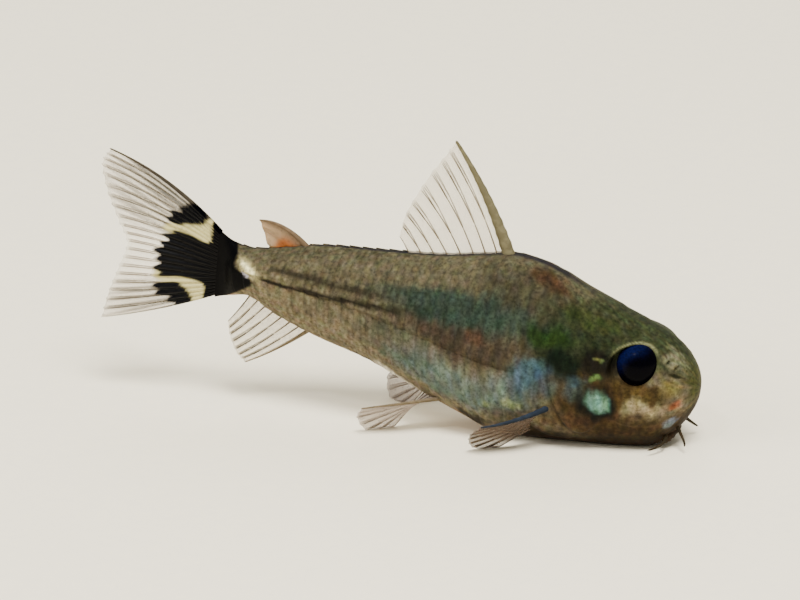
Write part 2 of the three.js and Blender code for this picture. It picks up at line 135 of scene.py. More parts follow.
@dataclass(frozen=True)
class BodyForm:
    """The body's sections and the surface through them."""

    snout: float = 24.25
    tip_z: float = -2.25
    blunt_from: float = 21.9
    snout_power: float = 2.1
    back_power: float = 1.95
    roof_power: float = 2.0
    belly_power: float = 2.7
    seam: float = 0.46  # share of the way down the flank where the two rows of plates meet
    slant: float = 0.42  # mm that the plates' rings lean back at the seam
    slant_reach: float = 0.42  # share of the flank over which that lean fades
    # place along the axis, back, belly, half width, height of the widest point
    sections: tuple[tuple[float, ...], ...] = (
        (0.0, 1.7, -1.8, 0.42, 0.0),
        (0.8, 1.22, -1.55, 0.62, -0.1),
        (1.7, 1.02, -1.36, 0.76, -0.1),
        (3.4, 1.38, -2.15, 0.98, -0.3),
        (5.5, 1.8, -2.85, 1.32, -0.55),
        (8.0, 2.0, -3.45, 1.72, -0.9),
        (11.0, 2.3, -4.62, 2.2, -1.5),
        (13.2, 2.72, -5.42, 2.48, -2.05),
        (14.7, 2.98, -5.9, 2.62, -2.4),
        (16.2, 2.78, -5.88, 2.7, -2.5),
        (18.5, 1.76, -5.72, 2.68, -2.3),
        (20.5, 0.96, -5.6, 2.5, -2.0),
        (22.2, 0.36, -5.4, 2.16, -1.9),
        (23.4, -0.04, -4.95, 1.8, -1.9),
        (24.25, -0.25, -4.6, 1.6, -1.9),
    )

    def through(self, column: int, x: Array) -> Array:
        """The sections' values of one column at x, without overshoot between them."""
        table = np.array(self.sections)
        at, value = table[:, 0], table[:, column]
        steps = np.diff(value) / np.diff(at)
        last = len(at) - 1
        before = steps[np.maximum(np.arange(last + 1) - 1, 0)]
        after = steps[np.minimum(np.arange(last + 1), last - 1)]
        same_way = before * after > 0
        total = np.where(same_way, before + after, 1.0)
        slope = np.where(same_way, 2 * before * after / total, 0.0)
        i = np.clip(np.searchsorted(at, x) - 1, 0, last - 1)
        run, rise = at[i + 1] - at[i], value[i + 1] - value[i]
        t = np.clip((x - at[i]) / run, 0, 1)
        a, b = slope[i] * run, slope[i + 1] * run
        return value[i] + t * a + t * t * (3 * rise - 2 * a - b) + t**3 * (a + b - 2 * rise)

    def section(self, x: Array) -> tuple[Array, Array, Array, Array]:
        """Back, belly, half width and widest height at x, closed round at the snout."""
        q = np.clip((x - self.blunt_from) / (self.snout - self.blunt_from), 0, 1)
        closing = (1 - q**self.snout_power) ** (1 / self.snout_power)
        back, belly, half, wide = (self.through(k, x) for k in range(1, 5))
        tip = self.tip_z
        return (
            tip + (back - tip) * closing,
            tip + (belly - tip) * closing,
            half * closing,
            tip + (wide - tip) * closing,
        )

    def power(self, x: Array, above: Array) -> Array:
        """How square the sections are above and below their widest points."""
        roof = self.back_power + (self.roof_power - self.back_power) * smooth(x, 17, 21)
        return np.where(above, roof, self.belly_power)

    def chevron(self, x: Array, f: Array) -> Array:
        """How far the rings lean back, in mm, none of it on the tail's root and the head."""
        lean = np.maximum(0, 1 - np.abs(f - self.seam) / self.slant_reach) * self.slant
        return lean * (smooth(x, 0.3, 1.6) * (1 - smooth(x, 16.8, 18.6)))

    def point(self, x: Array, f: Array, side: Array) -> Array:
        """Points of the bare body surface.

        Args:
            x: ring place along the body.
            f: share of the way down the flank, 0 on the back and 1 on the belly.
            side: 1 for the left flank and -1 for the right.

        Returns:
            The points, in the fish's frame.
        """
        x, f, side = np.broadcast_arrays(np.asarray(x, float), f, side)
        back, belly, half, wide = self.section(x)
        up, out = np.cos(f * np.pi), np.clip(np.sin(f * np.pi), 0, 1)
        power = self.power(x, up > 0)
        reach = np.where(up > 0, back - wide, wide - belly)
        y = half * out ** (2 / power)
        z = wide + np.sign(up) * reach * np.abs(up) ** (2 / power)
        return np.stack([x - self.chevron(x, f), side * y, z], -1)

    def outward(self, x: Array, f: Array, side: Array) -> Array:
        """Unit normals of the bare surface, pointing away from the body."""
        along, down_step, last = 0.03, 0.004, 24.2
        behind, ahead = np.clip(x - along, 0.01, last - 0.1), np.clip(x + along, 0.02, last)
        above, below = np.clip(f - down_step, 0, 1), np.clip(f + down_step, 0, 1)
        forward = self.point(ahead, f, side) - self.point(behind, f, side)
        here = np.clip(x, 0, last)
        down = self.point(here, below, side) - self.point(here, above, side)
        return unit(np.cross(forward, down) * np.asarray(side)[..., None])


POSE = Pose()
FORM = BodyForm()


# Making meshes


def alone(piece: bpy.types.Object) -> None:
    """Selects one object and makes it the active one."""
    bpy.ops.object.select_all(action="DESELECT")
    piece.select_set(True)
    bpy.context.view_layer.objects.active = piece


def raw_points(piece: bpy.types.Object) -> Array:
    """A piece's vertices as they are in its mesh, one row each."""
    co = np.empty(len(piece.data.vertices) * 3)
    piece.data.vertices.foreach_get("co", co)
    return co.reshape(-1, 3)


def sheet(name: str, cells: tuple[int, int], place: Callable[[Array, Array], Array]) -> bpy.types.Object:
    """A grid primitive whose points are moved to where place says.

    Args:
        name: the piece's name.
        cells: how many faces across and along.
        place: gives the points in the fish's frame for shares across and along, from 0 to 1.

    Returns:
        The new object, at the origin.
    """
    bpy.ops.object.select_all(action="DESELECT")
    bpy.ops.mesh.primitive_grid_add(x_subdivisions=cells[0], y_subdivisions=cells[1], size=1)
    piece = bpy.context.object
    piece.name = piece.data.name = name
    share = np.round(np.clip(raw_points(piece)[:, :2] + 0.5, 0, 1) * cells) / cells
    points = POSE.world(place(share[:, 0], share[:, 1]))
    piece.data.vertices.foreach_set("co", points.ravel())
    piece.data.uv_layers[0].name = BAKE_MAP
    piece.data.update()
    return piece


def close_up(piece: bpy.types.Object, merge: bool = True) -> None:
    """Merges a piece's doubles, if asked to, and turns its faces outwards."""
    alone(piece)
    bpy.ops.object.mode_set(mode="EDIT")
    bpy.ops.mesh.select_all(action="SELECT")
    if merge:
        bpy.ops.mesh.remove_doubles(threshold=MERGE)
    bpy.ops.mesh.normals_make_consistent(inside=False)
    bpy.ops.object.mode_set(mode="OBJECT")
    bpy.ops.object.shade_smooth()


def thicken(piece: bpy.types.Object, thickness: float) -> None:
    """Gives an open sheet a wall of a thickness in mm, half on each side."""
    alone(piece)
    wall = piece.modifiers.new("wall", "SOLIDIFY")
    wall.thickness = thickness / 1000
    wall.offset = 0
    bpy.ops.object.modifier_apply(modifier=wall.name)


def joined(name: str, pieces: Sequence[bpy.types.Object]) -> bpy.types.Object:
    """Joins pieces into the first and names it."""
    alone(pieces[0])
    for piece in pieces:
        piece.select_set(True)
    bpy.ops.object.join()
    pieces[0].name = pieces[0].data.name = name
    return pieces[0]


def curve_point(line: Sequence[Sequence[float]], t: Array) -> Array:
    """Points at shares t of a smooth line through the given points."""
    knots = np.array(line, float)
    padded = np.vstack([2 * knots[0] - knots[1], knots, 2 * knots[-1] - knots[-2]])
    place = np.clip(t, 0, 1) * (len(knots) - 1)
    i = np.minimum(place.astype(int), len(knots) - 2)
    s = (place - i)[..., None]
    a, b, c, d = (padded[i + k] for k in range(4))
    cubic = 2 * b + (c - a) * s + (2 * a - 5 * b + 4 * c - d) * s**2 + (3 * b - a - 3 * c + d) * s**3
    return cubic / 2


def tube(
    name: str,
    path: Callable[[Array], Array],
    radius: Callable[[Array], Array],
    cells: tuple[int, int],
    flat: float = 1.0,
) -> bpy.types.Object:
    """A closed round limb along a path.

    Args:
        name: the piece's name.
        path: gives centre points in the fish's frame for shares along it.
        radius: gives the radius in mm for the same shares.
        cells: faces around and along.
        flat: thickness across Y as a share of the radius.

    Returns:
        The new object, closed at both ends.
    """

    def place(around: Array, way: Array) -> Array:
        centre = path(way)
        along = unit(path(np.clip(way + 0.01, 0, 1)) - path(np.clip(way - 0.01, 0, 1)))
        guide = np.array([0.09, 1.0, 0.27])  # no limb runs this way
        across = unit(np.cross(along, guide))
        third = np.cross(across, along)
        end = np.where((way < EDGE) | (way > 1 - EDGE), 0.0, 1.0)
        r = (radius(way) * end)[..., None]
        angle = (around * 2 * np.pi)[..., None]
        return centre + across * np.cos(angle) * r + third * np.sin(angle) * r * flat

    piece = sheet(name, cells, place)
    close_up(piece)
    return piece


def outline_distance(outline: Sequence[Sequence[float]], x: Array, z: Array) -> Array:
    """Signed distance to a closed outline in side view, positive inside it."""
    ring = np.array(outline, float)
    s = np.linspace(0, 1, 6, endpoint=False)[:, None]
    edge = []
    for i in range(len(ring)):
        a, b, c, d = (ring[(i + k) % len(ring)] for k in (-1, 0, 1, 2))
        edge.append(b + 0.5 * s * (c - a + s * (2 * a - 5 * b + 4 * c - d + s * (3 * (b - c) + d - a))))
    edge = np.vstack(edge)
    nxt = np.roll(edge, -1, axis=0)
    near = np.full(x.shape, 1e9)
    inside = np.zeros(x.shape, bool)
    for (ax, az), (bx, bz) in zip(edge, nxt):
        dx, dz = bx - ax, bz - az
        h = np.clip(((x - ax) * dx + (z - az) * dz) / (dx * dx + dz * dz + 1e-12), 0, 1)
        near = np.minimum(near, np.hypot(x - ax - h * dx, z - az - h * dz))
        crosses = (az > z) != (bz > z)
        at = ax + (z - az) * dx / (dz if abs(dz) > 1e-9 else 1e-9)
        inside ^= crosses & (x < at)
    return np.where(inside, near, -near)


# Markings, the same on both flanks


@dataclass(frozen=True)
class Mark:
    """A soft patch of colour on the flank, placed by ring place and share down the flank."""

    name: str
    at: Place
    reach: Place
    colour: str
    strength: float = 0.8
    shine: float = 0.0
    lean: float = 0.0  # how much f changes for each mm along the body

    def share(self, x: Array, f: Array) -> Array:
        """How much of the mark shows at each place, from 0 to 1."""
        across = f - self.at[1] - self.lean * (x - self.at[0])
        r = np.hypot((x - self.at[0]) / self.reach[0], across / self.reach[1])
        return self.strength * (1 - smooth(r, 0.35, 1.0))


@dataclass(frozen=True)
class Line:
    """A thin dark line along the flank through places of ring place and share down the flank."""

    name: str
    way: tuple[Place, ...]
    width: float
    colour: str
    strength: float = 0.8

    def share(self, x: Array, f: Array) -> Array:
        """How much of the line shows at each place, from 0 to 1."""
        at = np.array(self.way)
        middle = np.interp(x, at[:, 0], at[:, 1])
        run = at[-1, 0] - at[0, 0]
        ends = smooth(x, at[0, 0] - 0.1, at[0, 0] + 0.4) * (1 - smooth(x, at[-1, 0] - 0.35 * run, at[-1, 0]))
        return self.strength * ends * (1 - smooth(np.abs(f - middle), self.width * 0.4, self.width))


@dataclass(frozen=True)
class Markings:
    """Every colour mark of the species on its body and tail.

    The hex colours are as they look in life. The pigment itself is darker, by depth, because gloss and
    the light inside the skin brighten it.
    """

    back: str = "#625c45"
    flank: str = "#6c644c"
    low: str = "#8c8065"
    belly: str = "#c9a988"
    black: str = "#010102"
    depth: float = 0.5
    girth: float = 9.0  # mm of skin from the back to the belly, for patterns
    # clouds that move the marks' outlines along the body and down the flank, and change the brightness
    along_waves: tuple[Wave, ...] = ((0.3, 1.7, 1), (0.12, 0.5, 2))
    down_waves: tuple[Wave, ...] = ((0.018, 1.5, 3), (0.008, 0.45, 4))
    mottle_waves: tuple[Wave, ...] = ((0.2, 1.1, 5), (0.2, 0.5, 10), (0.2, 0.28, 6))
    hue_waves: tuple[Wave, ...] = ((0.11, 0.7, 7), (0.08, 0.8, 8), (0.14, 0.6, 9))  # red, green and blue
    fan_point: Place = (3.37, -0.35)  # where the tail's rays would meet, in side view
    streak_rate: float = 190  # streaks for each turn of the fan, and how they waver
    streak_waver: tuple[float, float] = (1.5, 31)
    marks: tuple[Mark, ...] = (
        Mark("tan tail stalk", (3.4, 0.66), (3.4, 0.4), "#8f8263", 0.7),
        Mark("olive head roof", (21.6, 0.1), (4.6, 0.34), "#3d432b", 1.0),
        Mark("olive head side", (20.8, 0.26), (4.6, 0.2), "#3b4029", 1.0),
        Mark("dark shoulder", (18.2, 0.34), (3.2, 0.26), "#2f3622", 1.0),
        Mark("dark cheek side", (19.6, 0.56), (3.2, 0.22), "#4a3a20", 1.0),
        Mark("dim upper flank", (15.4, 0.2), (3.0, 0.16), "#434030", 0.85),
        Mark("rusty nape", (16.6, 0.11), (1.6, 0.08), "#462f1f", 0.8),
        Mark("brown flank", (13.2, 0.42), (4.6, 0.11), "#483d31", 0.95),
        Mark("teal band", (12.8, 0.32), (6.2, 0.1), "#2e4037", 0.9),
        Mark("slate low flank", (10.0, 0.54), (2.6, 0.12), "#4a4e42", 0.6),
        Mark("rusty flank spot", (13.9, 0.4), (0.7, 0.03), "#553a28", 0.5),
        Mark("silver belly", (12.6, 0.6), (4.2, 0.13), "#6d7d73", 0.92, 0.35),
        Mark("silver behind fin", (15.6, 0.55), (2.0, 0.08), "#6a7a70", 0.85, 0.3),
        Mark("blue gleam", (16.8, 0.47), (1.5, 0.075), "#435f6c", 0.85, 0.3),
        Mark("green shoulder", (17.2, 0.33), (1.4, 0.05), "#223a0e", 0.7, 0.1),
        Mark("green brow", (19.0, 0.2), (1.8, 0.08), "#3d4620", 0.5),
        Mark("dark gill edge", (18.1, 0.41), (1.0, 0.09), "#0f1c12", 0.95),
        Mark("dark behind eye", (19.7, 0.395), (1.5, 0.1), "#171510", 0.95),
        Mark("slate behind gill", (18.9, 0.5), (1.0, 0.06), "#3f4a46", 0.85),
        Mark("blue shoulder glint", (18.6, 0.47), (0.5, 0.035), "#37525c", 0.6, 0.3),
        Mark("green glint", (19.65, 0.455), (0.42, 0.018), "#6c8f50", 0.7, 0.3, -0.02),
        Mark("upper green glint", (19.7, 0.375), (0.3, 0.012), "#767f4a", 0.6, 0.2),
        Mark("amber cheek", (21.9, 0.515), (1.7, 0.07), "#4e3d1e", 0.95),
        Mark("pale cheek fleck", (22.1, 0.56), (1.4, 0.035), "#b3a57c", 0.85),
        Mark("brown throat", (19.6, 0.63), (2.6, 0.07), "#56402c", 0.9),
        Mark("brown jaw", (21.4, 0.68), (3.6, 0.1), "#4c3a20", 0.9),
        Mark("dark chin", (21.0, 0.84), (5.0, 0.22), "#241809", 1.0),
        Mark("dark breast", (17.0, 0.8), (2.6, 0.18), "#22170e", 0.95),
        # painted shadow: a near-black patch under the belly behind the breast fin, where shade falls
        Mark("dark belly root", (13.9, 0.76), (1.1, 0.08), "#0e0c08", 0.9),
        Mark("dark muzzle", (23.8, 0.95), (1.8, 0.32), "#38291a", 1.0),
        Mark("dark under gleam", (19.8, 0.56), (1.3, 0.1), "#0a0f0d", 1.0),
        Mark("gill cover gleam", (19.85, 0.545), (0.68, 0.05), "#84b8a2", 1.0, 0.3, 0.02),
        Mark("yellow glint", (16.0, 0.571), (0.65, 0.032), "#a3ad7c", 0.9, 0.2),
        Mark("small yellow glint", (14.7, 0.602), (0.35, 0.022), "#9aa66c", 0.65, 0.3),
        Mark("pale snout top", (23.3, 0.2), (0.8, 0.14), "#7b7a5c", 0.8),
        Mark("pale snout side", (22.9, 0.26), (0.5, 0.09), "#8a8668", 0.75),
        Mark("pale under nostril", (23.1, 0.47), (0.6, 0.07), "#857a45", 0.8),
        Mark("dark nostril", (23.3, 0.375), (0.42, 0.03), "#1b1c0c", 0.95),
        Mark("olive snout", (24.25, 0.3), (0.7, 0.6), "#50532c", 1.0),
        Mark("orange lip spot", (23.4, 0.575), (0.4, 0.045), "#a85a3a", 0.85),
        Mark("bluish lip", (23.25, 0.7), (0.4, 0.05), "#8d97a8", 0.8, 0.2),
    )
    lines: tuple[Line, ...] = (
        Line("flank line", ((2.6, 0.487), (4.9, 0.464), (7.0, 0.441), (12.0, 0.36)), 0.022, "#16120e", 0.9),
        Line("upper line", ((3.0, 0.35), (6.3, 0.371), (10.0, 0.35)), 0.03, "#2a261f", 0.75),
        Line("belly line", ((7.4, 0.8), (8.6, 0.83), (10.6, 0.86)), 0.035, "#1a120a", 0.95),
    )
    belly_edge: Mark = Mark("pale belly edge", (10.3, 0.9), (2.1, 0.14), "#e2dcc6", 1.0, 0.0, 0.06)
    # the pale patch in front of the tail spot: place and reach in side view, colour and strength
    stalk_patch: tuple[tuple[Place, Place, str, float], ...] = (
        ((1.8, 0.2), (0.75, 0.5), "#a59a6c", 0.85),
        ((1.75, 0.25), (0.5, 0.2), "#f4ecb4", 1.0),
        ((1.7, -0.12), (0.28, 0.14), "#d8d2e0", 0.8),
    )
    # the tail spot in side view, over the tail's root and back along the middle rays
    spot: tuple[Place, ...] = (
        (-0.05, 2.1), (0.5, 1.7), (0.95, 1.24), (1.15, 0.72), (1.12, 0.2), (2.05, -0.42),
        (1.2, -1.15), (0.5, -1.7), (-0.11, -2.1), (-0.62, -2.2), (-0.55, -1.5), (-0.8, -1.16),
        (-2.0, -1.04), (-2.95, -1.0), (-2.95, 0.2), (-2.6, 0.9), (-2.15, 1.22), (-1.4, 1.14),
        (-0.68, 0.9), (-0.4, 1.1), (-0.32, 2.0),
    )  # fmt: skip
    bars: tuple[tuple[Place, ...], ...] = (
        ((-0.72, 1.9), (-0.8, 2.7), (-1.5, 2.75), (-2.3, 2.2), (-2.5, 1.68), (-1.6, 1.72)),
        ((-1.15, -2.1), (-1.7, -1.5), (-2.5, -1.42), (-3.0, -1.7), (-2.5, -2.3), (-1.4, -2.7)),
    )
    creams: tuple[tuple[Place, ...], ...] = (
        (
            (-0.3, 2.1), (-0.8, 2.0), (-1.6, 1.78), (-2.5, 1.72), (-2.75, 1.2), (-1.9, 0.9), (-0.9, 0.6),
            (-0.2, 1.0),
        ),
        ((-0.5, -2.3), (-1.3, -2.3), (-1.8, -1.6), (-2.9, -1.5), (-3.1, -0.9), (-1.9, -0.9), (-0.5, -1.0)),
    )

    def ink(self, x: Array, z: Array, ragged: Array) -> Array:
        """How black the tail spot is at places in side view, with a ragged rear edge."""
        rear = smooth(-x, 1.6, 2.6)
        inside = outline_distance(self.spot, x, z) + ragged * rear
        return smooth(inside, -0.07, 0.05)

    def body(self, x: Array, f: Array, points: Array) -> Array:
        """The colours of body skin.

        Args:
            x: ring place along the body.
            f: share of the way down the flank.
            points: the same places in the fish's frame.

        Returns:
            Linear red, green and blue, with the shine of the skin as alpha.
        """
        down = f * self.girth
        wx, wf = x + clouds(x, down, self.along_waves), f + clouds(x, down, self.down_waves)
        colour = plain_coat(len(x), self.back, 0.12)
        tones = ((0.08, 0.3, self.flank, 0.15), (0.4, 0.62, self.low, 0.2), (0.76, 0.9, self.belly, 0.1))
        for begins, ends, tone, shine in tones:
            self.lay(colour, smooth(wf, begins, ends), tone, shine)
        for mark in self.marks:
            small = mark.reach[0] < 0.8  # small marks keep more of their own outline
            share = mark.share(0.5 * (x + wx), 0.5 * (f + wf)) if small else mark.share(wx, wf)
            self.lay(colour, share, mark.colour, mark.shine)
        mottle = 1 + clouds(x, down, self.mottle_waves)
        for channel, wave in enumerate(self.hue_waves):
            colour[:, channel] *= mottle * (1 + clouds(x, down, (wave,)))
        steady = f + 0.35 * (wf - f)
        for line in self.lines:
            self.lay(colour, line.share(x, steady), line.colour, 0.05)
        ridge = (1 - smooth(f, 0.012, 0.05)) * (1 - 0.8 * smooth(x, 17.0, 19.0))
        self.lay(colour, 0.85 * ridge, "#1d1b28", 0.1)
        side_x, side_z = points[:, 0], points[:, 2]
        colour[:, :3] *= self.depth
        edge = self.belly_edge.share(wx, wf) * mottle
        self.lay(colour, np.clip(edge, 0, 1), self.belly_edge.colour, 0.1)
        for (px, pz), (rx, rz), pale, much in self.stalk_patch:
            away = np.hypot((side_x - px) / rx, (side_z - pz + 0.55 * (side_x - px)) / rz)
            self.lay(colour, much * (1 - smooth(away, 0.45, 1.0)), pale, 0.2)
        self.lay(colour, self.ink(side_x, side_z, np.zeros(len(x))), self.black, 0.0)
        return colour

    def tail_fin(self, points: Array, clear: str, clear_share: float, ragged: Array) -> Array:
        """The colours of the tail fin: the spot, the cream bars and the dark bars beyond them.

        Args:
            points: places in the fish's frame.
            clear: hex colour where the fin has no mark.
            clear_share: how opaque the fin is there.
            ragged: how far the spot's rear edge is out, in mm.

        Returns:
            Linear red, green and blue, with opacity as alpha.
        """
        x, z = points[:, 0], points[:, 2]
        colour = plain_coat(len(x), clear, clear_share)
        # how far out a place lies in its lobe: 0 on the middle rays and 1 at the fin's edges
        spread = np.abs(z + 0.15) / np.maximum(1.2 - 0.72 * x, 0.5)
        lobe = smooth(spread, 0.2, 0.55) * (1 - 0.75 * smooth(-x, 3.8, 6.2))
        fan = np.arctan2(z - self.fan_point[1], self.fan_point[0] - x)
        waver, waver_rate = self.streak_waver
        streak = smooth(np.sin(fan * self.streak_rate + waver * np.sin(fan * waver_rate)), -0.3, 0.7)
        lobe_tint = "#3d362d" if clear_share == 1 else "#b8ac98"  # rays are opaque and webs are not
        self.lay(colour, lobe, lobe_tint, max(0.42, clear_share))
        self.lay(colour, 0.7 * lobe * streak, "#4d463b", max(0.8, clear_share))
        lead = smooth(z + 0.576 * (x - 0.15), 0.9, 1.5) * (1 - smooth(-x, 2.8, 5.0))
        self.lay(colour, 0.65 * lead * (0.5 + 0.5 * streak), "#24201c", max(0.8, clear_share))
        for cream in self.creams:
            inside = outline_distance(cream, x, z)
            self.lay(colour, smooth(inside + 0.4 * ragged * (x < -1.9), -0.1, 0.12), "#b9b07c", 0.93)
        for bar in self.bars:
            inside = outline_distance(bar, x, z)
            self.lay(colour, smooth(inside + ragged * smooth(-x, 1.6, 2.2), -0.12, 0.05), "#020204", 0.97)
        self.lay(colour, self.ink(x, z, ragged), self.black, 1.0)
        return colour

    def adipose(self, colour: Array, points: Array) -> None:
        """Lays the amber of the small back fin over its clear colour, strongest at its rear base."""
        x, z = points[:, 0], points[:, 2]
        amber = np.hypot((x - 3.45) / 0.75, (z - 1.3) / 0.75)
        self.lay(colour, 0.95 * (1 - smooth(amber, 0.5, 1.1)), "#8c4c1e", 0.95)
        self.lay(colour, 0.7 * smooth(z + 0.55 * (x - 1.95), 2.3, 2.75), "#6e5a44", 0.9)

    @staticmethod
    def lay(colour: Array, share: Array, over: str, last: float) -> None:
        """Lays a colour and a last channel over what is there, by share."""
        top = np.array([*linear(over), last])
        colour += (top - colour) * np.asarray(share)[:, None]


MARKINGS = Markings()


def plain_coat(count: int, hex_colour: str, last: float) -> Array:
    """The same colour and last channel for each of count vertices."""
    return np.tile([*linear(hex_colour), last], (count, 1))


def fish_points(piece: bpy.types.Object) -> Array:
    """A piece's vertices back in the fish's frame, in mm."""
    x, y, z = (raw_points(piece) * 1000).T
    x, z = x + POSE.middle, z - POSE.lift
    cos, sin = math.cos(POSE.pitch), math.sin(POSE.pitch)
    return np.stack([x * cos - z * sin, y, x * sin + z * cos], -1)


def write_coat(piece: bpy.types.Object, colours: Array) -> None:
    """Writes one colour for each vertex into the piece's coat attribute."""
    layer = piece.data.color_attributes.new(COAT, "FLOAT_COLOR", "POINT")
    layer.data.foreach_set("color", np.clip(colours, 0, 1).astype(np.float32).ravel())


def flank_share(points: Array) -> tuple[Array, Array]:
    """The ring place and share down the flank of points near the body surface."""
    x = points[:, 0].copy()
    for _ in range(4):  # the lean of the rings is found anew from each better place
        back, belly, half, wide = FORM.section(np.clip(x, 0, FORM.snout - 0.05))
        up = points[:, 2] >= wide
        power = FORM.power(x, up)
        reach = np.where(up, back - wide, wide - belly)
        rise = np.abs((points[:, 2] - wide) / np.maximum(reach, 1e-6)) ** (power / 2)
        out = np.abs(points[:, 1] / np.maximum(half, 1e-6)) ** (power / 2)
        f = np.arctan2(out, np.where(up, rise, -rise)) / np.pi
        x = points[:, 0] + FORM.chevron(x, f)
    return np.clip(x, 0, FORM.snout), np.clip(f, 0, 1)


# Materials

NOISE, CELLS = "ShaderNodeTexNoise", "ShaderNodeTexVoronoi"
TONE, RANGE, MIX = "ShaderNodeHueSaturation", "ShaderNodeMapRange", "ShaderNodeMix"
UNDER, OVER = 6, 7  # the colour inputs of a mix, whose names are not unique
Links = dict[str | int, bpy.types.NodeSocket]
Shading = tuple[dict[str, object], Links]


def node(tree: bpy.types.NodeTree, kind: str, settings: dict[str, object], links: Links) -> bpy.types.Node:
    """Adds a shader node with its settings and links.

    Args:
        tree: the material's node tree.
        kind: the node's type.
        settings: properties by name, or input values by socket name.
        links: output sockets by the name or number of the input that each feeds.

    Returns:
        The new node.
    """
    made = tree.nodes.new(kind)
    for key, value in settings.items():
        if key in made.bl_rna.properties:
            setattr(made, key, value)
        else:
            made.inputs[key].default_value = value
    for key, socket in links.items():
        tree.links.new(socket, made.inputs[key])
    return made


def per_metre(size_mm: float) -> dict[str, float]:
    """The texture setting that repeats a pattern about every size_mm."""
    return {"Scale": 1000 / size_mm}


def window(low: float, high: float, start: float, end: float) -> dict[str, float]:
    """The settings that map low..high to start..end, held at both ends."""
    return {"From Min": low, "From Max": high, "To Min": start, "To Max": end}


def layer(
    tree: bpy.types.NodeTree,
    pattern: bpy.types.NodeSocket,
    where: dict[str, float],
    under: bpy.types.NodeSocket,
    over: bpy.types.NodeSocket,
    within: bpy.types.NodeSocket | None = None,
) -> bpy.types.NodeSocket:
    """Lays one colour over another where a pattern is strong.

    Args:
        tree: the material's node tree.
        pattern: the value that says where.
        where: the window of the pattern, and how much of the colour shows at its ends.
        under: the colour below.
        over: the colour laid on it.
        within: a further share that the layer is cut down by.

    Returns:
        The worked colour.
    """
    share = node(tree, RANGE, where, {"Value": pattern}).outputs["Result"]
    if within is not None:
        share = node(tree, "ShaderNodeMath", {"operation": "MULTIPLY"}, {0: share, 1: within}).outputs[0]
    return node(tree, MIX, {"data_type": "RGBA"}, {0: share, UNDER: under, OVER: over}).outputs[2]


@dataclass(frozen=True)
class Finish:
    """A finish made of one shader whose sockets its patterns feed."""

    name: str

    def shading(self, tree: bpy.types.NodeTree, place: bpy.types.NodeSocket) -> Shading:
        """The shader's settings and links, for patterns laid out by place."""
        raise NotImplementedError

    def build(self) -> bpy.types.Material:
        """Makes the material."""
        material = bpy.data.materials.new(self.name)
        material.use_nodes = True
        tree = material.node_tree
        tree.nodes.clear()
        place = node(tree, "ShaderNodeTexCoord", {}, {}).outputs["Object"]
        shader = node(tree, "ShaderNodeBsdfPrincipled", *self.shading(tree, place))
        node(tree, "ShaderNodeOutputMaterial", {}, {"Surface": shader.outputs[0]})
        return material


@dataclass(frozen=True)
class WetSkin(Finish):
    """Live catfish skin under water-clear slime: speckled pigment over a silvery layer.

    It gives the eye a fine dark peppering, glints where the silvery layer shows and a wet gloss.
    """

    name: str = "wet_catfish_skin"
    speckle_mm: float = 0.16
    cloud_mm: float = 0.9
    pepper_mm: float = 0.24
    glint_mm: float = 0.11
    lighter: float = 1.55
    darker: float = 0.5
    roughness: tuple[float, float] = (0.5, 0.68)
    relief_mm: float = 0.014

    def shading(self, tree: bpy.types.NodeTree, place: bpy.types.NodeSocket) -> Shading:
        """Pigment in four sizes of fleck, then the glints, over a fine relief."""
        coat = node(tree, "ShaderNodeVertexColor", {"layer_name": COAT}, {})
        colour, shine = coat.outputs["Color"], coat.outputs["Alpha"]
        at = {"Vector": place}
        speckle = node(tree, NOISE, {**per_metre(self.speckle_mm), "Detail": 4.0}, at).outputs["Fac"]
        clouds = node(tree, NOISE, {**per_metre(self.cloud_mm), "Detail": 3.0}, at).outputs["Fac"]
        pepper = node(tree, CELLS, per_metre(self.pepper_mm), at).outputs["Distance"]
        glint = node(tree, CELLS, per_metre(self.glint_mm), at).outputs["Color"]
        lighter = node(tree, TONE, {"Value": self.lighter}, {"Color": colour}).outputs["Color"]
        darker = node(tree, TONE, {"Value": self.darker}, {"Color": colour}).outputs["Color"]
        worked = layer(tree, speckle, window(0.5, 0.68, 0, 0.7), colour, lighter)
        worked = layer(tree, speckle, window(0.48, 0.34, 0, 0.75), worked, darker)
        worked = layer(tree, clouds, window(0.45, 0.65, 0, 0.35), worked, darker)
        worked = layer(tree, pepper, window(0.26, 0.14, 0, 0.5), worked, darker)
        worked = layer(tree, glint, window(0.62, 0.8, 0, 0.5), worked, lighter, shine)
        depth = {"Strength": 0.8, "Distance": self.relief_mm / 1000}
        relief = node(tree, "ShaderNodeBump", depth, {"Height": speckle})
        rough = node(tree, RANGE, window(0.3, 0.7, *self.roughness), {"Value": speckle})
        silver = node(tree, RANGE, window(0.15, 1.0, 0, 0.7), {"Value": shine})
        settings = {
            "Coat Weight": 0.03,
            "Coat Roughness": 0.18,
            "Coat IOR": 1.34,
            "IOR": 1.36,
            "Specular IOR Level": 0.09,
            "Subsurface Weight": 0.05,
            "Subsurface Radius": (0.0006, 0.0004, 0.00025),
            "Subsurface Scale": 1.0,
        }
        return settings, {
            "Base Color": worked,
            "Metallic": silver.outputs["Result"],
            "Roughness": rough.outputs["Result"],
            "Normal": relief.outputs["Normal"],
        }


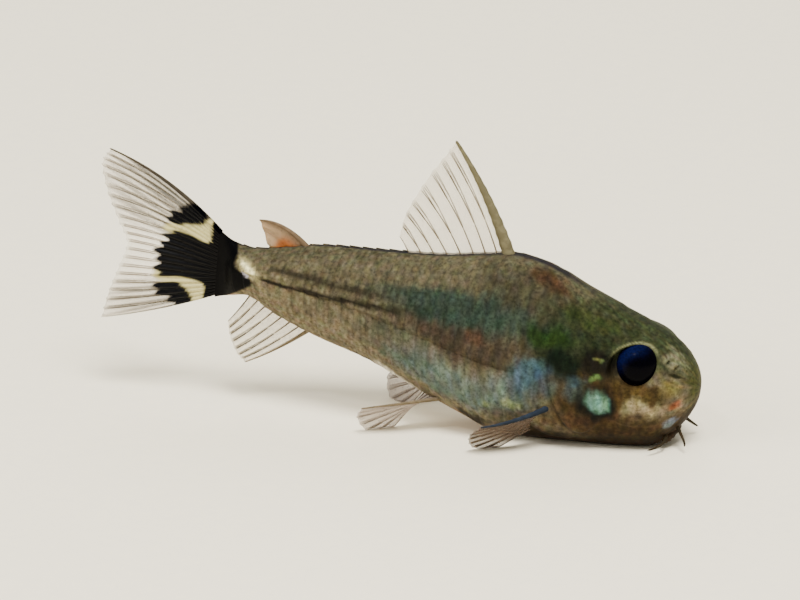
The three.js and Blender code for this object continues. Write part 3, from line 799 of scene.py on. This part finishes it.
@dataclass(frozen=True)
class FleckedFinish(Finish):
    """A finish whose coat colour is flecked with a lighter or darker tone of itself."""

    name: str
    fleck_mm: float
    detail: float
    tone: float  # brightness of the flecks against the coat
    flecks: tuple[float, float, float, float]  # where the flecks lie in the noise, and how strongly
    roughness: tuple[float, float]
    shader: tuple[tuple[str, float], ...]
    clear: bool = False  # whether the coat's last channel is opacity
    relief_mm: float = 0.0

    def shading(self, tree: bpy.types.NodeTree, place: bpy.types.NodeSocket) -> Shading:
        """The flecked colour, and roughness from the same noise."""
        coat = node(tree, "ShaderNodeVertexColor", {"layer_name": COAT}, {})
        colour = coat.outputs["Color"]
        size = {**per_metre(self.fleck_mm), "Detail": self.detail}
        fleck = node(tree, NOISE, size, {"Vector": place}).outputs["Fac"]
        toned = node(tree, TONE, {"Value": self.tone}, {"Color": colour}).outputs["Color"]
        rough = node(tree, RANGE, window(0.3, 0.7, *self.roughness), {"Value": fleck})
        links: Links = {
            "Base Color": layer(tree, fleck, window(*self.flecks), colour, toned),
            "Roughness": rough.outputs["Result"],
        }
        if self.clear:
            links["Alpha"] = coat.outputs["Alpha"]
        if self.relief_mm:
            depth = {"Strength": 0.4, "Distance": self.relief_mm / 1000}
            links["Normal"] = node(tree, "ShaderNodeBump", depth, {"Height": fleck}).outputs["Normal"]
        return dict(self.shader), links


# The clear web of a fin, two thin layers of skin with little pigment. It gives the eye an almost clear film
# with a wet gleam, and full colour where the coat is marked.
FIN_WEB = FleckedFinish(
    "clear_fin_web",
    fleck_mm=0.14,
    detail=3.0,
    tone=0.6,
    flecks=(0.52, 0.68, 0, 0.6),
    roughness=(0.28, 0.45),
    shader=(("Coat Weight", 0.03), ("Coat Roughness", 0.2), ("IOR", 1.33), ("Specular IOR Level", 0.2)),
    clear=True,
    relief_mm=0.01,
)
# Jointed bony fin rays under thin skin. They give the eye fine dark lines, banded where the joints are.
FIN_RAY = FleckedFinish(
    "bony_fin_ray",
    fleck_mm=0.32,
    detail=2.0,
    tone=1.35,
    flecks=(0.48, 0.62, 0, 0.7),
    roughness=(0.3, 0.5),
    shader=(("IOR", 1.36), ("Specular IOR Level", 0.0)),
)
# The iris and the wide pupil, seen through the cornea. They give the eye a blue-black disc, bluer above.
EYE_INSIDE = FleckedFinish(
    "blue_black_iris",
    fleck_mm=0.09,
    detail=3.0,
    tone=0.45,
    flecks=(0.45, 0.6, 0, 0.8),
    roughness=(0.2, 0.28),
    shader=(("IOR", 1.336), ("Specular IOR Level", 0.05)),
)


@dataclass(frozen=True)
class PaleFloor(Finish):
    """Matt painted board.

    It gives the eye a plain pale ground with a soft shadow.
    """

    name: str = "matt_painted_board"
    colour: str = "#f1e8d0"
    grain: str = "#d9d3c4"
    grain_mm: float = 0.8

    def shading(self, tree: bpy.types.NodeTree, place: bpy.types.NodeSocket) -> Shading:
        """Paint with a faint grain."""
        size = {**per_metre(self.grain_mm), "Detail": 2.0}
        grain = node(tree, NOISE, size, {"Vector": place}).outputs["Fac"]
        share = node(tree, RANGE, window(0.3, 0.7, 0, 0.12), {"Value": grain}).outputs["Result"]
        tone = node(tree, MIX, {"data_type": "RGBA"}, {0: share})
        for at, paint in ((UNDER, self.colour), (OVER, self.grain)):
            tone.inputs[at].default_value = (*linear(paint), 1)
        return {"Roughness": 0.75}, {"Base Color": tone.outputs[2]}


def dress(piece: bpy.types.Object, material: bpy.types.Material) -> None:
    """Gives a piece one material."""
    piece.data.materials.clear()
    piece.data.materials.append(material)


# Sub-assemblies


@dataclass(frozen=True)
class BonePlate:
    """A plate of the skull in side view: its outline, its height and how its edge fades, in mm."""

    outline: tuple[Place, ...]
    height: float
    edge: tuple[float, float]

    def rise(self, x: Array, z: Array) -> Array:
        """How far the plate stands out at places in side view."""
        return self.height * smooth(outline_distance(self.outline, x, z), *self.edge)


@dataclass
class HeadRelief:
    """The raised and sunken forms of the head, in side view."""

    eye: Point = (21.42, 1.42, -1.07)
    eye_radius: float = 1.1
    eye_turn: float = 0.22
    gill_cover: BonePlate = BonePlate(
        (
            (17.6, 0.1), (19.0, 0.3), (20.0, -0.9), (20.25, -2.6), (19.9, -4.0), (18.9, -4.7), (17.9, -3.6),
            (17.3, -1.8),
        ),
        0.12,
        (-0.02, 0.16),
    )  # fmt: skip
    cheek: BonePlate = BonePlate(
        ((20.45, -2.6), (22.3, -2.45), (22.7, -3.2), (21.7, -4.0), (20.5, -3.7)), 0.08, (-0.02, 0.22)
    )
    nape: BonePlate = BonePlate(
        ((17.6, 5.0), (20.4, 5.0), (20.1, 0.75), (18.9, 0.95), (17.9, 1.35), (17.0, 2.0)), 0.04, (-0.1, 0.3)
    )
    shoulder: BonePlate = BonePlate(
        (
            (16.5, -2.1), (17.2, -1.7), (18.1, -3.5), (18.9, -4.9), (17.6, -5.2), (16.4, -4.4), (15.8, -3.3),
        ),
        0.06,
        (-0.02, 0.14),
    )  # fmt: skip
    bed_depth: float = 0.5
    # the fold round the eye: height in mm, then place and width as shares of the eye's radius
    eye_rings: tuple[Point, ...] = ((0.06, 1.12, 0.09), (-0.03, 1.34, 0.1))
    nostril_rim: float = 0.03
    nostril_pit: float = 0.2
    # place in side view and radius of the two openings of each nostril
    nostrils: tuple[Point, ...] = ((23.28, -1.02, 0.17), (22.88, -0.72, 0.12))

    def eye_distance(self, points: Array) -> Array:
        """Distance from the eye's axis, as a share of the eye's radius."""
        ex, ey, ez = self.eye
        dx, dy = points[:, 0] - ex, np.abs(points[:, 1]) - ey
        across = dx * math.cos(self.eye_turn) + dy * math.sin(self.eye_turn)
        return np.hypot(across, points[:, 2] - ez) / self.eye_radius

    def height(self, points: Array) -> Array:
        """How far the skin stands out of the bare body, in mm."""
        x, z = points[:, 0], points[:, 2]
        plates = sum(plate.rise(x, z) for plate in (self.gill_cover, self.cheek, self.nape, self.shoulder))
        away = self.eye_distance(points)
        ring = sum(height * bell(away, middle, width) for height, middle, width in self.eye_rings)
        plates = plates * smooth(away, 1.0, 1.3) + ring
        for nx, nz, radius in self.nostrils:
            far = np.hypot(x - nx, z - nz) / radius
            plates += self.nostril_rim * bell(far, 1.25, 0.35) - self.nostril_pit * (1 - smooth(far, 0.3, 1.0))
        return plates

    def sink_eye(self, points: Array) -> Array:
        """Presses the eye's bed into the head."""
        away = self.eye_distance(points)
        depth = self.bed_depth * (1 - smooth(away, 0.78, 1.0))
        sides = np.sign(points[:, 1])
        moved = points.copy()
        moved[:, 0] -= depth * math.sin(self.eye_turn)
        moved[:, 1] -= sides * depth * math.cos(self.eye_turn)
        near = (away < 1.05) & (np.abs(points[:, 1]) > 0.6)
        return np.where(near[:, None], moved, points)


@dataclass
class Skin:
    """The one skin of head, trunk and tail stalk, closed and without seams."""

    rings: int = 430
    around: int = 196
    root_share: float = 0.16  # how thin the stalk's end is, where the tail fin grows out of it
    floor_gap: float = 0.012
    rim_colour: str = "#858660"  # the pale edge over the eye
    cleft_colour: str = "#060a08"  # painted shade along the slit behind the gill cover
    relief: HeadRelief = field(default_factory=HeadRelief)

    def place(self, turn: Array, way: Array) -> Array:
        """Points of the skin for shares around and along the body."""
        side = np.where(turn < 0.5, -1.0, 1.0)
        f = np.where(turn < 0.5, 2 * turn, 2 - 2 * turn)
        x = self._ring(way)
        points = FORM.point(x, f, side)
        on_middle = (f < EDGE) | (f > 1 - EDGE)
        fade = np.where(on_middle, smooth(x, 16, 18), smooth(x, 14.5, 17.0))
        lift = self.relief.height(points) * fade
        points = points + FORM.outward(x, f, side) * (lift * (1 - smooth(x, 24.0, 24.2)))[:, None]
        points = self.relief.sink_eye(points)
        wedge = self.root_share + (1 - self.root_share) * smooth(x, 0.0, 1.3)
        points[:, 1] = np.where(on_middle, 0.0, points[:, 1] * wedge)
        points[:, 2] = np.maximum(points[:, 2], POSE.floor(points[:, 0]) + self.floor_gap)
        points[way < EDGE] = (-0.02, 0.0, 0.0)
        points[way > 1 - EDGE] = (FORM.snout, 0.0, FORM.tip_z)
        return points

    def _ring(self, way: Array) -> Array:
        """Ring places: even along the body and finer on the head, down to the snout's tip."""
        knots = (0.0, 0.006, 0.6, 0.92, 0.975, 1.0)
        return np.interp(way, knots, (0.0, 0.02, 16.6, 23.4, 24.08, FORM.snout))

    def build(self, material: bpy.types.Material) -> bpy.types.Object:
        """Makes and dresses the skin."""
        piece = sheet("skin", (self.around, self.rings), self.place)
        close_up(piece)
        points = fish_points(piece)
        x, f = flank_share(points)
        colours = MARKINGS.body(x, f, points)
        away = self.relief.eye_distance(points)
        rim = bell(away, 1.05, 0.05) * smooth(points[:, 2], -0.7, 0.1)
        MARKINGS.lay(colours, 0.55 * rim * (points[:, 0] > 19), self.rim_colour, 0.2)
        # painted shade: a dark line along the lower rear edge of the gill cover, standing in for the shade in
        # the crease
        cover = outline_distance(self.relief.gill_cover.outline, points[:, 0], points[:, 2])
        cleft = bell(cover, -0.02, 0.09) * smooth(-points[:, 2], 0.2, 1.4)
        MARKINGS.lay(colours, 0.45 * cleft * (1 - smooth(points[:, 0], 18.8, 19.4)), self.cleft_colour, 0.1)
        write_coat(piece, colours)
        dress(piece, material)
        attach(piece, BODY)
        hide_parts("head", "torso", "tail")
        return piece


@dataclass
class Scutes:
    """The two rows of bony plates on each flank, each a thin tile over the one behind it."""

    count: int = 24
    start: float = 1.3
    end: float = 16.9
    overlap: float = 1.25
    lift: tuple[float, float] = (-0.03, 0.045)  # how high the front and the free edge stand over the skin
    thickness: float = 0.014
    edge_bow: float = 0.1  # how far the free edge bows back and its corners round off, in gaps
    corner_round: float = 0.28
    edge_shade: float = 0.1  # how much darker the plates are along their edges
    bar_shade: float = 0.24  # and along the fine bars across them
    rows: tuple[tuple[float, float], ...] = ((0.028, 0.468), (0.452, 0.81))
    cells: tuple[int, int] = (7, 22)

    @property
    def pitch(self) -> float:
        """How far apart the plates of a row lie, in mm."""
        return (self.end - self.start) / self.count

    def plate(self, side: Side, row: int, number: int) -> bpy.types.Object:
        """One plate of a row."""
        pitch = self.pitch
        rear = self.start + number * pitch
        front = rear + pitch * self.overlap
        top, bottom = self.rows[row]

        def place(back: Array, down: Array) -> Array:
            bow = 1 - (2 * down - 1) ** 2
            corner = self.corner_round * (1 - np.clip(bow * 6, 0, 1)) ** 2
            x = front + (rear - front) * back - self.edge_bow * bow * back * pitch + corner * back * pitch
            f = top + (bottom - top) * down
            sides = np.full(len(x), float(side.value))
            x = np.clip(x, 0.1, 18.0)
            points = FORM.point(x, f, sides)
            edge = self.lift[1] * (1 - 0.7 * smooth(x, 7.0, 13.0))
            high = self.lift[0] + (edge - self.lift[0]) * back**0.8
            # the foremost plates sink into the skin of the shoulder
            high = high * (1 - smooth(x, 14.5, 16.4)) - 0.08 * smooth(x, 15.4, 17.0)
            tuck = 0.03 * smooth(down, 0.9, 1.0) if row == 0 else -0.02 * (1 - smooth(down, 0.0, 0.08))
            return points + FORM.outward(x, f, sides) * (high + tuck)[:, None]

        return sheet(f"scute_{side.word}_{row}_{number}", self.cells, place)

    def build(self, material: bpy.types.Material) -> bpy.types.Object:
        """Makes all plates as one joined piece, tinted like the skin with dark free edges."""
        rows, numbers = range(len(self.rows)), range(self.count)
        plates = [self.plate(side, row, number) for side in Side for row in rows for number in numbers]
        piece = joined("flank_scutes", plates)
        close_up(piece, merge=False)
        thicken(piece, self.thickness)
        bpy.ops.object.shade_smooth()
        points = fish_points(piece)
        x, f = flank_share(points)
        colours = MARKINGS.body(x, f, points)
        within = (x - self.start) / self.pitch % 1
        edge = bell(np.minimum(within, 1 - within), 0, 0.12) * smooth(x, 2.0, 4.0) * (1 - smooth(x, 10, 14))
        bars = (0.5 + 0.5 * np.cos(within * 4 * np.pi)) * (1 - smooth(x, 8, 14))
        colours[:, :3] *= (1 - self.edge_shade * edge - self.bar_shade * bars)[:, None]
        write_coat(piece, colours)
        self.unwrap(piece, x, f, points)
        dress(piece, material)
        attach(piece, BODY)
        return piece

    @staticmethod
    def unwrap(piece: bpy.types.Object, x: Array, f: Array, points: Array) -> None:
        """Lays the bake map out on an unwrap of the body's own flanks."""
        share = np.where(points[:, 1] < 0, 0.5 * f, 1 - 0.5 * f)
        corner = np.empty(len(piece.data.loops), np.int64)
        piece.data.loops.foreach_get("vertex_index", corner)
        flat = np.stack([x / FORM.snout, share], -1)[corner]
        piece.data.uv_layers[BAKE_MAP].data.foreach_set("uv", flat.astype(np.float32).ravel())


@dataclass
class Eye:
    """A wide blue-black eye, flattened a little and set in its bed."""

    side: Side
    relief: HeadRelief
    radius: float = 1.09
    depth: float = 0.83
    pupil: float = 0.72
    bulge: float = 0.05  # how much further the cornea stands out in the middle
    black: str = "#010104"
    blue: str = "#070c2e"

    def build(self, material: bpy.types.Material) -> bpy.types.Object:
        """Makes and dresses the eye."""
        bpy.ops.object.select_all(action="DESELECT")
        bpy.ops.mesh.primitive_uv_sphere_add(segments=96, ring_count=64, radius=1)
        piece = bpy.context.object
        piece.name = piece.data.name = f"eyeball_{self.side.word}"
        across, up, out = raw_points(piece).T
        r = np.hypot(across, up)
        front = out > 0
        bulge = 1 + self.bulge * bell(r, 0, 0.55) * front
        s = self.side.value
        turn = self.relief.eye_turn
        y = out * self.depth * bulge
        x = across * self.radius
        ex, ey, ez = self.relief.eye
        cos, sin = math.cos(turn), math.sin(turn)
        points = np.stack([ex + x * cos + y * sin, s * (ey - x * sin + y * cos), ez + up * self.radius], -1)
        piece.data.vertices.foreach_set("co", POSE.world(points).ravel())
        piece.data.update()
        close_up(piece)
        colours = plain_coat(len(r), self.black, 1)
        iris = smooth(r, self.pupil - 0.32, self.pupil + 0.16) * front
        MARKINGS.lay(colours, iris * smooth(up - across, 0.1, 1.2), self.blue, 1)
        write_coat(piece, colours)
        dress(piece, material)
        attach(piece, BODY)
        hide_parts(f"eye_{self.side.word}")
        return piece


@dataclass
class Mouth:
    """The soft ring of the lips under the snout."""

    centre: Point = (23.0, 0.0, -4.72)
    half: float = 0.78
    reach: float = 0.42
    lip: float = 0.24
    tilt: float = 0.8
    colour: str = "#2c2116"

    def build(self, material: bpy.types.Material) -> bpy.types.Object:
        """Makes and dresses the lips."""

        def place(ring: Array, tube_way: Array) -> Array:
            a, b = ring * 2 * np.pi, tube_way * 2 * np.pi
            fat = self.lip * (1 + 0.06 * np.sin(a * 11) - 0.15 * np.cos(a) ** 2)
            r = self.half + fat * np.cos(b)
            x = np.cos(a) * r * self.reach / self.half
            y = np.sin(a) * r
            z = fat * np.sin(b)
            cos, sin = math.cos(self.tilt), math.sin(self.tilt)
            cx, cy, cz = self.centre
            points = np.stack([cx + x * cos - z * sin, cy + y, cz + x * sin + z * cos], -1)
            points[:, 2] = np.maximum(points[:, 2], POSE.floor(points[:, 0]) + 0.005)
            return points

        piece = sheet("lips", (72, 24), place)
        close_up(piece)
        write_coat(piece, plain_coat(len(piece.data.vertices), self.colour, 0.1))
        dress(piece, material)
        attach(piece, BODY)
        return piece


@dataclass
class Feeler:
    """A short fleshy feeler at a corner of the mouth."""

    side: Side
    level: str
    at: tuple[Point, ...]
    root: float = 0.13
    tip: float = 0.04
    reach: float = 0.72  # how much of the way through the points it runs
    colour: str = "#2a2419"

    def build(self, material: bpy.types.Material) -> bpy.types.Object:
        """Makes and dresses the feeler."""
        line = [(x, self.side.value * y, z) for x, y, z in self.at]

        def radius(way: Array) -> Array:
            taper = self.root + (self.tip - self.root) * way**0.8
            rings = 1 + 0.05 * np.sin(way * 60)
            return taper * rings * np.sqrt(np.clip((1 - way) * 14, 0, 1))

        name = f"feeler_{self.level}_{self.side.word}"
        piece = tube(name, lambda way: curve_point(line, way * self.reach), radius, (16, 48))
        write_coat(piece, plain_coat(len(piece.data.vertices), self.colour, 0.1))
        dress(piece, material)
        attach(piece, BODY)
        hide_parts(f"barbel_{self.level}_{self.side.word}")
        return piece


@dataclass
class Fin:
    """A fin: a web of clear skin and the rays that carry it."""

    name: str
    slot: str
    root: tuple[Point, ...]
    margin: tuple[Point, ...]
    bow: tuple[Point, Point]
    rays: int
    spine: float  # radius of the leading spine at its root
    ray: float = 0.05  # radius of the other rays at their roots
    notch: float = 0.012
    web_colour: str = "#d8cdb6"
    web_share: float = 0.3  # how opaque the web is
    web_thickness: float = 0.04
    ripple: float = 0.05  # how far the web waves between the rays
    web_gap: float = 0.03  # the least height over the floor of the web's middle, and of the rays'
    ray_gap: float = 0.06
    ray_colour: str = "#5d5140"
    spine_colour: str = "#5f5442"
    fork_ends: tuple[float, ...] = (0.42, 0.72, 0.985)  # how far out the stem and its branches end
    fork_leans: tuple[float, ...] = (0.2, 0.11, 0.06)  # how far apart they run, as shares of a gap
    saw: float = 0.0  # depth of the teeth on the spine's rear edge

    def at(self, u: Array, v: Array) -> Array:
        """Points of the fin's middle sheet, u across the rays and v along them."""
        start, end = curve_point(self.root, u), curve_point(self.margin, u)
        bows = np.array(self.bow)
        lean = bows[0] + (bows[1] - bows[0]) * np.asarray(u)[..., None]
        v = np.asarray(v)[..., None]
        return start + (end - start) * v + lean * 4 * v * (1 - v)

    def normal(self, u: Array, v: Array) -> Array:
        """Unit normals of the fin's middle sheet."""
        e = 0.02
        across = self.at(np.clip(u + e, 0, 1), v) - self.at(np.clip(u - e, 0, 1), v)
        along = self.at(u, np.clip(v + e, 0, 1)) - self.at(u, np.clip(v - e, 0, 1))
        return unit(np.cross(across, along))

    def web(self, material: bpy.types.Material) -> bpy.types.Object:
        """The clear web, drawn in between the ray tips."""
        gaps = self.rays - 1

        def place(u: Array, v: Array) -> Array:
            between = np.abs(np.sin(u * gaps * np.pi))
            v = v * (1 - self.notch * between**0.7)
            ripple = self.ripple * np.sin(u * gaps * np.pi * 2) * np.sin(np.clip(v, 0, 1) * 2.4)
            points = self.at(u, v) + self.normal(u, v) * ripple[:, None]
            points[:, 2] = np.maximum(points[:, 2], POSE.floor(points[:, 0]) + self.web_gap)
            return points

        piece = sheet(f"{self.name}_web", (gaps * 8, 40), place)
        close_up(piece)
        thicken(piece, self.web_thickness)
        points = fish_points(piece)
        write_coat(piece, self.web_coat(points))
        dress(piece, material)
        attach(piece, BODY)
        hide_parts(self.name)
        return piece

    def web_coat(self, points: Array) -> Array:
        """The web's colours, with opacity as alpha."""
        if self.name == "fin_tail":
            return MARKINGS.tail_fin(points, self.web_colour, self.web_share, self.ragged(points))
        colours = plain_coat(len(points), self.web_colour, self.web_share)
        if self.name == "fin_adipose":
            MARKINGS.adipose(colours, points)
        return colours

    @staticmethod
    def ragged(points: Array) -> Array:
        """How far the tail spot's rear edge runs out along the rays, in mm."""
        fan = np.arctan2(points[:, 2], 3.0 - points[:, 0])
        return 0.16 * np.sin(fan * 85) + 0.1 * np.sin(fan * 37 + 1)

    def ray_coat(self, points: Array, lead: bool) -> Array:
        """A ray's colours."""
        hex_colour = self.spine_colour if lead else self.ray_colour
        if self.name == "fin_tail":
            return MARKINGS.tail_fin(points, hex_colour, 1.0, self.ragged(points))
        return plain_coat(len(points), hex_colour, 1)

    def one_ray(self, number: int) -> list[bpy.types.Object]:
        """A ray and its forks, as thin tapered tubes."""
        gap = 1 / (self.rays - 1)
        root = number * gap
        if number == 0:

            def spine_radius(way: Array) -> Array:
                return self.spine * (1 - 0.82 * way) * (1 + self.saw * np.sin(way * 75)) + 0.012

            return [tube("spine", self._path(root, root, 0.0), spine_radius, (14, 90), 0.8)]
        first_side = -1 if number == self.rays - 1 else 1
        made, start, stems = [], 0.0, [(root, 0.0)]
        for end, lean in zip(self.fork_ends, np.array(self.fork_leans) * gap):
            thick = self.ray * (1 - 0.55 * start)
            thin = self.ray * (1 - 0.62 * end) * 0.85
            branches = []
            for stem, side in stems:

                def radius(way: Array, a: float = thick, b: float = thin) -> Array:
                    return a + (b - a) * way

                target = stem + side * lean
                begin = max(0.0, start - 0.04)  # each branch starts inside the one before it
                made.append(tube("ray", self._path(stem, target, begin, end), radius, (6, 10), 0.8))
                for branch in (-1, 1):
                    if 0 <= target + branch * lean <= 1:
                        branches.append((target, branch * first_side))
            stems, start = branches, end
        return made

    def _path(self, u0: float, u1: float, start: float, end: float = 1.0) -> Callable[[Array], Array]:
        """A line in the fin's sheet between two places."""

        def path(way: Array) -> Array:
            v = start + (end - start) * way
            u = u0 + (u1 - u0) * way
            points = self.at(np.broadcast_to(u, np.shape(v)), v)
            points[..., 2] = np.maximum(points[..., 2], POSE.floor(points[..., 0]) + self.ray_gap)
            return points

        return path

    def skeleton(self, material: bpy.types.Material) -> bpy.types.Object:
        """All rays of the fin as one joined piece."""
        pieces = []
        for number in range(self.rays):
            for ray in self.one_ray(number):
                write_coat(ray, self.ray_coat(fish_points(ray), number == 0))
                pieces.append(ray)
        piece = joined(f"{self.name}_rays", pieces)
        piece.data.uv_layers.remove(piece.data.uv_layers[BAKE_MAP])  # its rays would lie on each other
        dress(piece, material)
        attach(piece, BODY)
        return piece


def unpaired_fins() -> list[Fin]:
    """The fins on the fish's middle line."""
    dorsal = Fin(
        "fin_dorsal",
        "clear_fin",
        root=((14.6, 0, 2.2), (12.4, 0, 1.7), (9.9, 0, 1.3)),
        margin=(
            (11.3, 0, 8.15), (10.85, 0, 7.35), (10.2, 0, 6.3), (9.5, 0, 4.9), (9.1, 0, 3.9), (8.95, 0, 2.85),
        ),  # fmt: skip
        bow=((0.25, 0, 0.1), (-0.1, 0, 0.25)),
        rays=9,
        spine=0.34,
        saw=0.05,
        spine_colour="#5b5540",
    )
    adipose = Fin(
        "fin_adipose",
        "amber_fin",
        root=((4.75, 0, 1.2), (3.6, 0, 0.95), (2.9, 0, 0.7)),
        margin=((1.95, 0, 2.5), (2.15, 0, 2.1), (2.45, 0, 1.35)),
        bow=((0, 0, 0.42), (0, 0, 0.1)),
        rays=3,
        spine=0.16,
        ray=0.02,
        notch=0.02,
        web_colour="#8f6f48",
        web_share=0.72,
        ray_colour="#80603c",
        spine_colour="#5d4d3c",
    )
    anal = Fin(
        "fin_anal",
        "clear_fin",
        root=((5.15, 0, -2.4), (3.6, 0, -1.7), (2.05, 0, -0.9)),
        margin=((1.75, 0, -4.9), (1.3, 0, -4.5), (0.9, 0, -3.7), (0.75, 0, -2.95)),
        bow=((0, 0, -0.15), (0, 0, -0.1)),
        rays=8,
        spine=0.1,
        web_share=0.4,
        ray_colour="#4a4238",
    )
    tail = Fin(
        "fin_tail",
        "spotted_fin",
        root=((0.15, 0, 1.5), (0.25, 0, 0.6), (0.25, 0, -0.6), (0.15, 0, -1.6)),
        margin=(
            (-5.75, 0, 4.9), (-6.1, 0, 4.1), (-5.75, 0, 2.7), (-5.1, 0, 1.3), (-4.6, 0, 0.2),
            (-4.95, 0, -1.1), (-5.35, 0, -2.4), (-5.65, 0, -3.85),
        ),  # fmt: skip
        bow=((0.12, 0, 0.42), (0.1, 0, -0.12)),
        rays=21,
        spine=0.13,
        ray=0.045,
        web_colour="#e2d8c6",
        web_share=0.26,
        ray_colour="#85796a",
        spine_colour="#38322b",
    )
    return [dorsal, adipose, anal, tail]


def paired_fins(side: Side) -> list[Fin]:
    """The breast and belly fins of one side."""
    s = side.value
    pectoral = Fin(
        f"fin_pectoral_{side.word}",
        "clear_fin",
        root=((18.2, s * 1.7, -3.2), (17.7, s * 1.7, -3.9), (17.1, s * 1.6, -4.7)),
        margin=((14.7, s * 4.5, -4.35), (14.1, s * 4.2, -5.0), (14.1, s * 3.6, -5.75), (14.9, s * 2.9, -6.2)),
        bow=((0.1, s * 0.35, -0.1), (0, s * 0.3, 0.1)),
        rays=8,
        spine=0.18,
        saw=0.07,
        web_colour="#6b5a4c",
        web_share=0.5,
        ray_colour="#3a312b",
        spine_colour="#20262f",
    )
    pelvic = Fin(
        f"fin_pelvic_{side.word}",
        "clear_fin",
        root=((12.9, s * 1.0, -4.3), (12.3, s * 0.95, -4.2), (11.4, s * 0.85, -4.0)),
        margin=((8.5, s * 3.2, -4.95), (8.2, s * 2.8, -5.6), (8.6, s * 2.2, -6.45), (9.6, s * 1.5, -6.6)),
        bow=((0, s * 0.35, 0.1), (0, s * 0.15, 0.1)),
        rays=7,
        spine=0.12,
        web_colour="#b5a79c",
        web_share=0.5,
        ray_colour="#6b6158",
    )
    return [pectoral, pelvic]


def feelers() -> Iterable[Feeler]:
    """The four feelers, an upper and a lower one at each corner of the mouth."""
    upper = ((23.2, 0.5, -3.9), (23.6, 0.85, -4.3), (24.0, 1.35, -4.75), (23.9, 2.0, -4.92))
    lower = ((22.8, 0.6, -4.3), (23.0, 1.3, -4.75), (22.5, 2.1, -4.98), (21.6, 2.7, -5.06))
    for side in Side:
        yield Feeler(side, "upper", upper)
        yield Feeler(side, "lower", lower)


@dataclass
class Studio:
    """The pale floor, the soft lights and the long lens."""

    azimuth: float = math.radians(15)
    elevation: float = math.radians(20)
    distance: float = 0.34
    frame_width: float = 38.65  # mm seen across the picture at the fish
    aim_right: float = 8.841
    aim_up: float = -1.836
    sensor: float = 36
    sky: str = "#f7f5ee"
    sky_strength: float = 0.6
    # name, place, width, watts, tint, and whether gloss shows it
    lamps: tuple[tuple[str, Point, float, float, str, bool], ...] = (
        ("key", (0.08, -0.12, 0.34), 0.16, 2.7, "#fffdf8", False),
        ("fill", (-0.25, -0.2, 0.2), 0.25, 1.0, "#f6f4f0", False),
        ("rim", (-0.1, 0.28, 0.25), 0.3, 0.8, "#fffdf6", False),
        ("glint", (-0.06, -0.2, 0.3), 0.03, 0.25, "#ffffff", True),
    )

    def axes(self) -> tuple[Vector, Vector, Vector]:
        """The camera's back, right and up directions."""
        a, e = self.azimuth, self.elevation
        back = Vector((math.sin(a) * math.cos(e), -math.cos(a) * math.cos(e), math.sin(e)))
        right = Vector((math.cos(a), math.sin(a), 0))
        return back, right, back.cross(right)

    def camera(self) -> None:
        """Adds the camera at the photograph's angle and scale."""
        back, right, up = self.axes()
        tail_root = Vector(POSE.world(np.zeros(3)))
        aim = tail_root + right * self.aim_right / 1000 + up * self.aim_up / 1000
        lens = bpy.data.cameras.new("camera")
        lens.sensor_width = self.sensor
        lens.lens = self.sensor * self.distance * 1000 / self.frame_width
        lens.clip_start = 0.01
        lens.clip_end = 10
        eye = bpy.data.objects.new("camera", lens)
        bpy.context.collection.objects.link(eye)
        eye.location = aim + back * self.distance
        eye.rotation_euler = back.to_track_quat("Z", "Y").to_euler()
        bpy.context.scene.camera = eye

    def floor(self) -> None:
        """Adds the floor."""
        bpy.ops.object.select_all(action="DESELECT")
        bpy.ops.mesh.primitive_plane_add(size=4)
        board = bpy.context.object
        board.name = "floor"
        dress(board, PaleFloor().build())

    def lamp(self, name: str, place: Point, size: float, power: float, tint: str, glints: bool) -> None:
        """Adds a soft round lamp aimed at the fish, which only shows in gloss where glints says so."""
        lamp = bpy.data.lights.new(name, "AREA")
        lamp.shape = "DISK"
        lamp.size = size
        lamp.energy = power
        lamp.color = linear(tint)
        holder = bpy.data.objects.new(name, lamp)
        bpy.context.collection.objects.link(holder)
        holder.location = place
        holder.visible_glossy = glints
        away = Vector(place) - Vector((0, 0, 0.005))
        holder.rotation_euler = away.to_track_quat("Z", "Y").to_euler()

    def build(self) -> None:
        """Sets up the whole studio."""
        self.camera()
        self.floor()
        for lamp in self.lamps:
            self.lamp(*lamp)
        world = bpy.data.worlds.new("studio")
        world.use_nodes = True
        sky = world.node_tree.nodes["Background"].inputs
        sky["Color"].default_value = (*linear(self.sky), 1)
        sky["Strength"].default_value = self.sky_strength
        bpy.context.scene.world = world


def report(piece: bpy.types.Object) -> None:
    """Logs a finished piece."""
    piece.data.calc_loop_triangles()
    LOG.info("%s: %d triangles", piece.name, len(piece.data.loop_triangles))


def main() -> None:
    """Builds the studio and the fish."""
    logging.basicConfig(level=logging.INFO, format="%(name)s %(message)s")
    Studio().build()
    skin_finish = WetSkin().build()
    web_finish, ray_finish = FIN_WEB.build(), FIN_RAY.build()
    skin = Skin()
    report(skin.build(skin_finish))
    report(Scutes().build(skin_finish))
    report(Mouth().build(skin_finish))
    eye_finish = EYE_INSIDE.build()
    for side in Side:
        report(Eye(side, skin.relief).build(eye_finish))
    for feeler in feelers():
        report(feeler.build(skin_finish))
    fins = unpaired_fins()
    for side in Side:
        fins += paired_fins(side)
    for fin in fins:
        report(fin.web(web_finish))
        report(fin.skeleton(ray_finish))


if __name__ == "__main__":
    main()
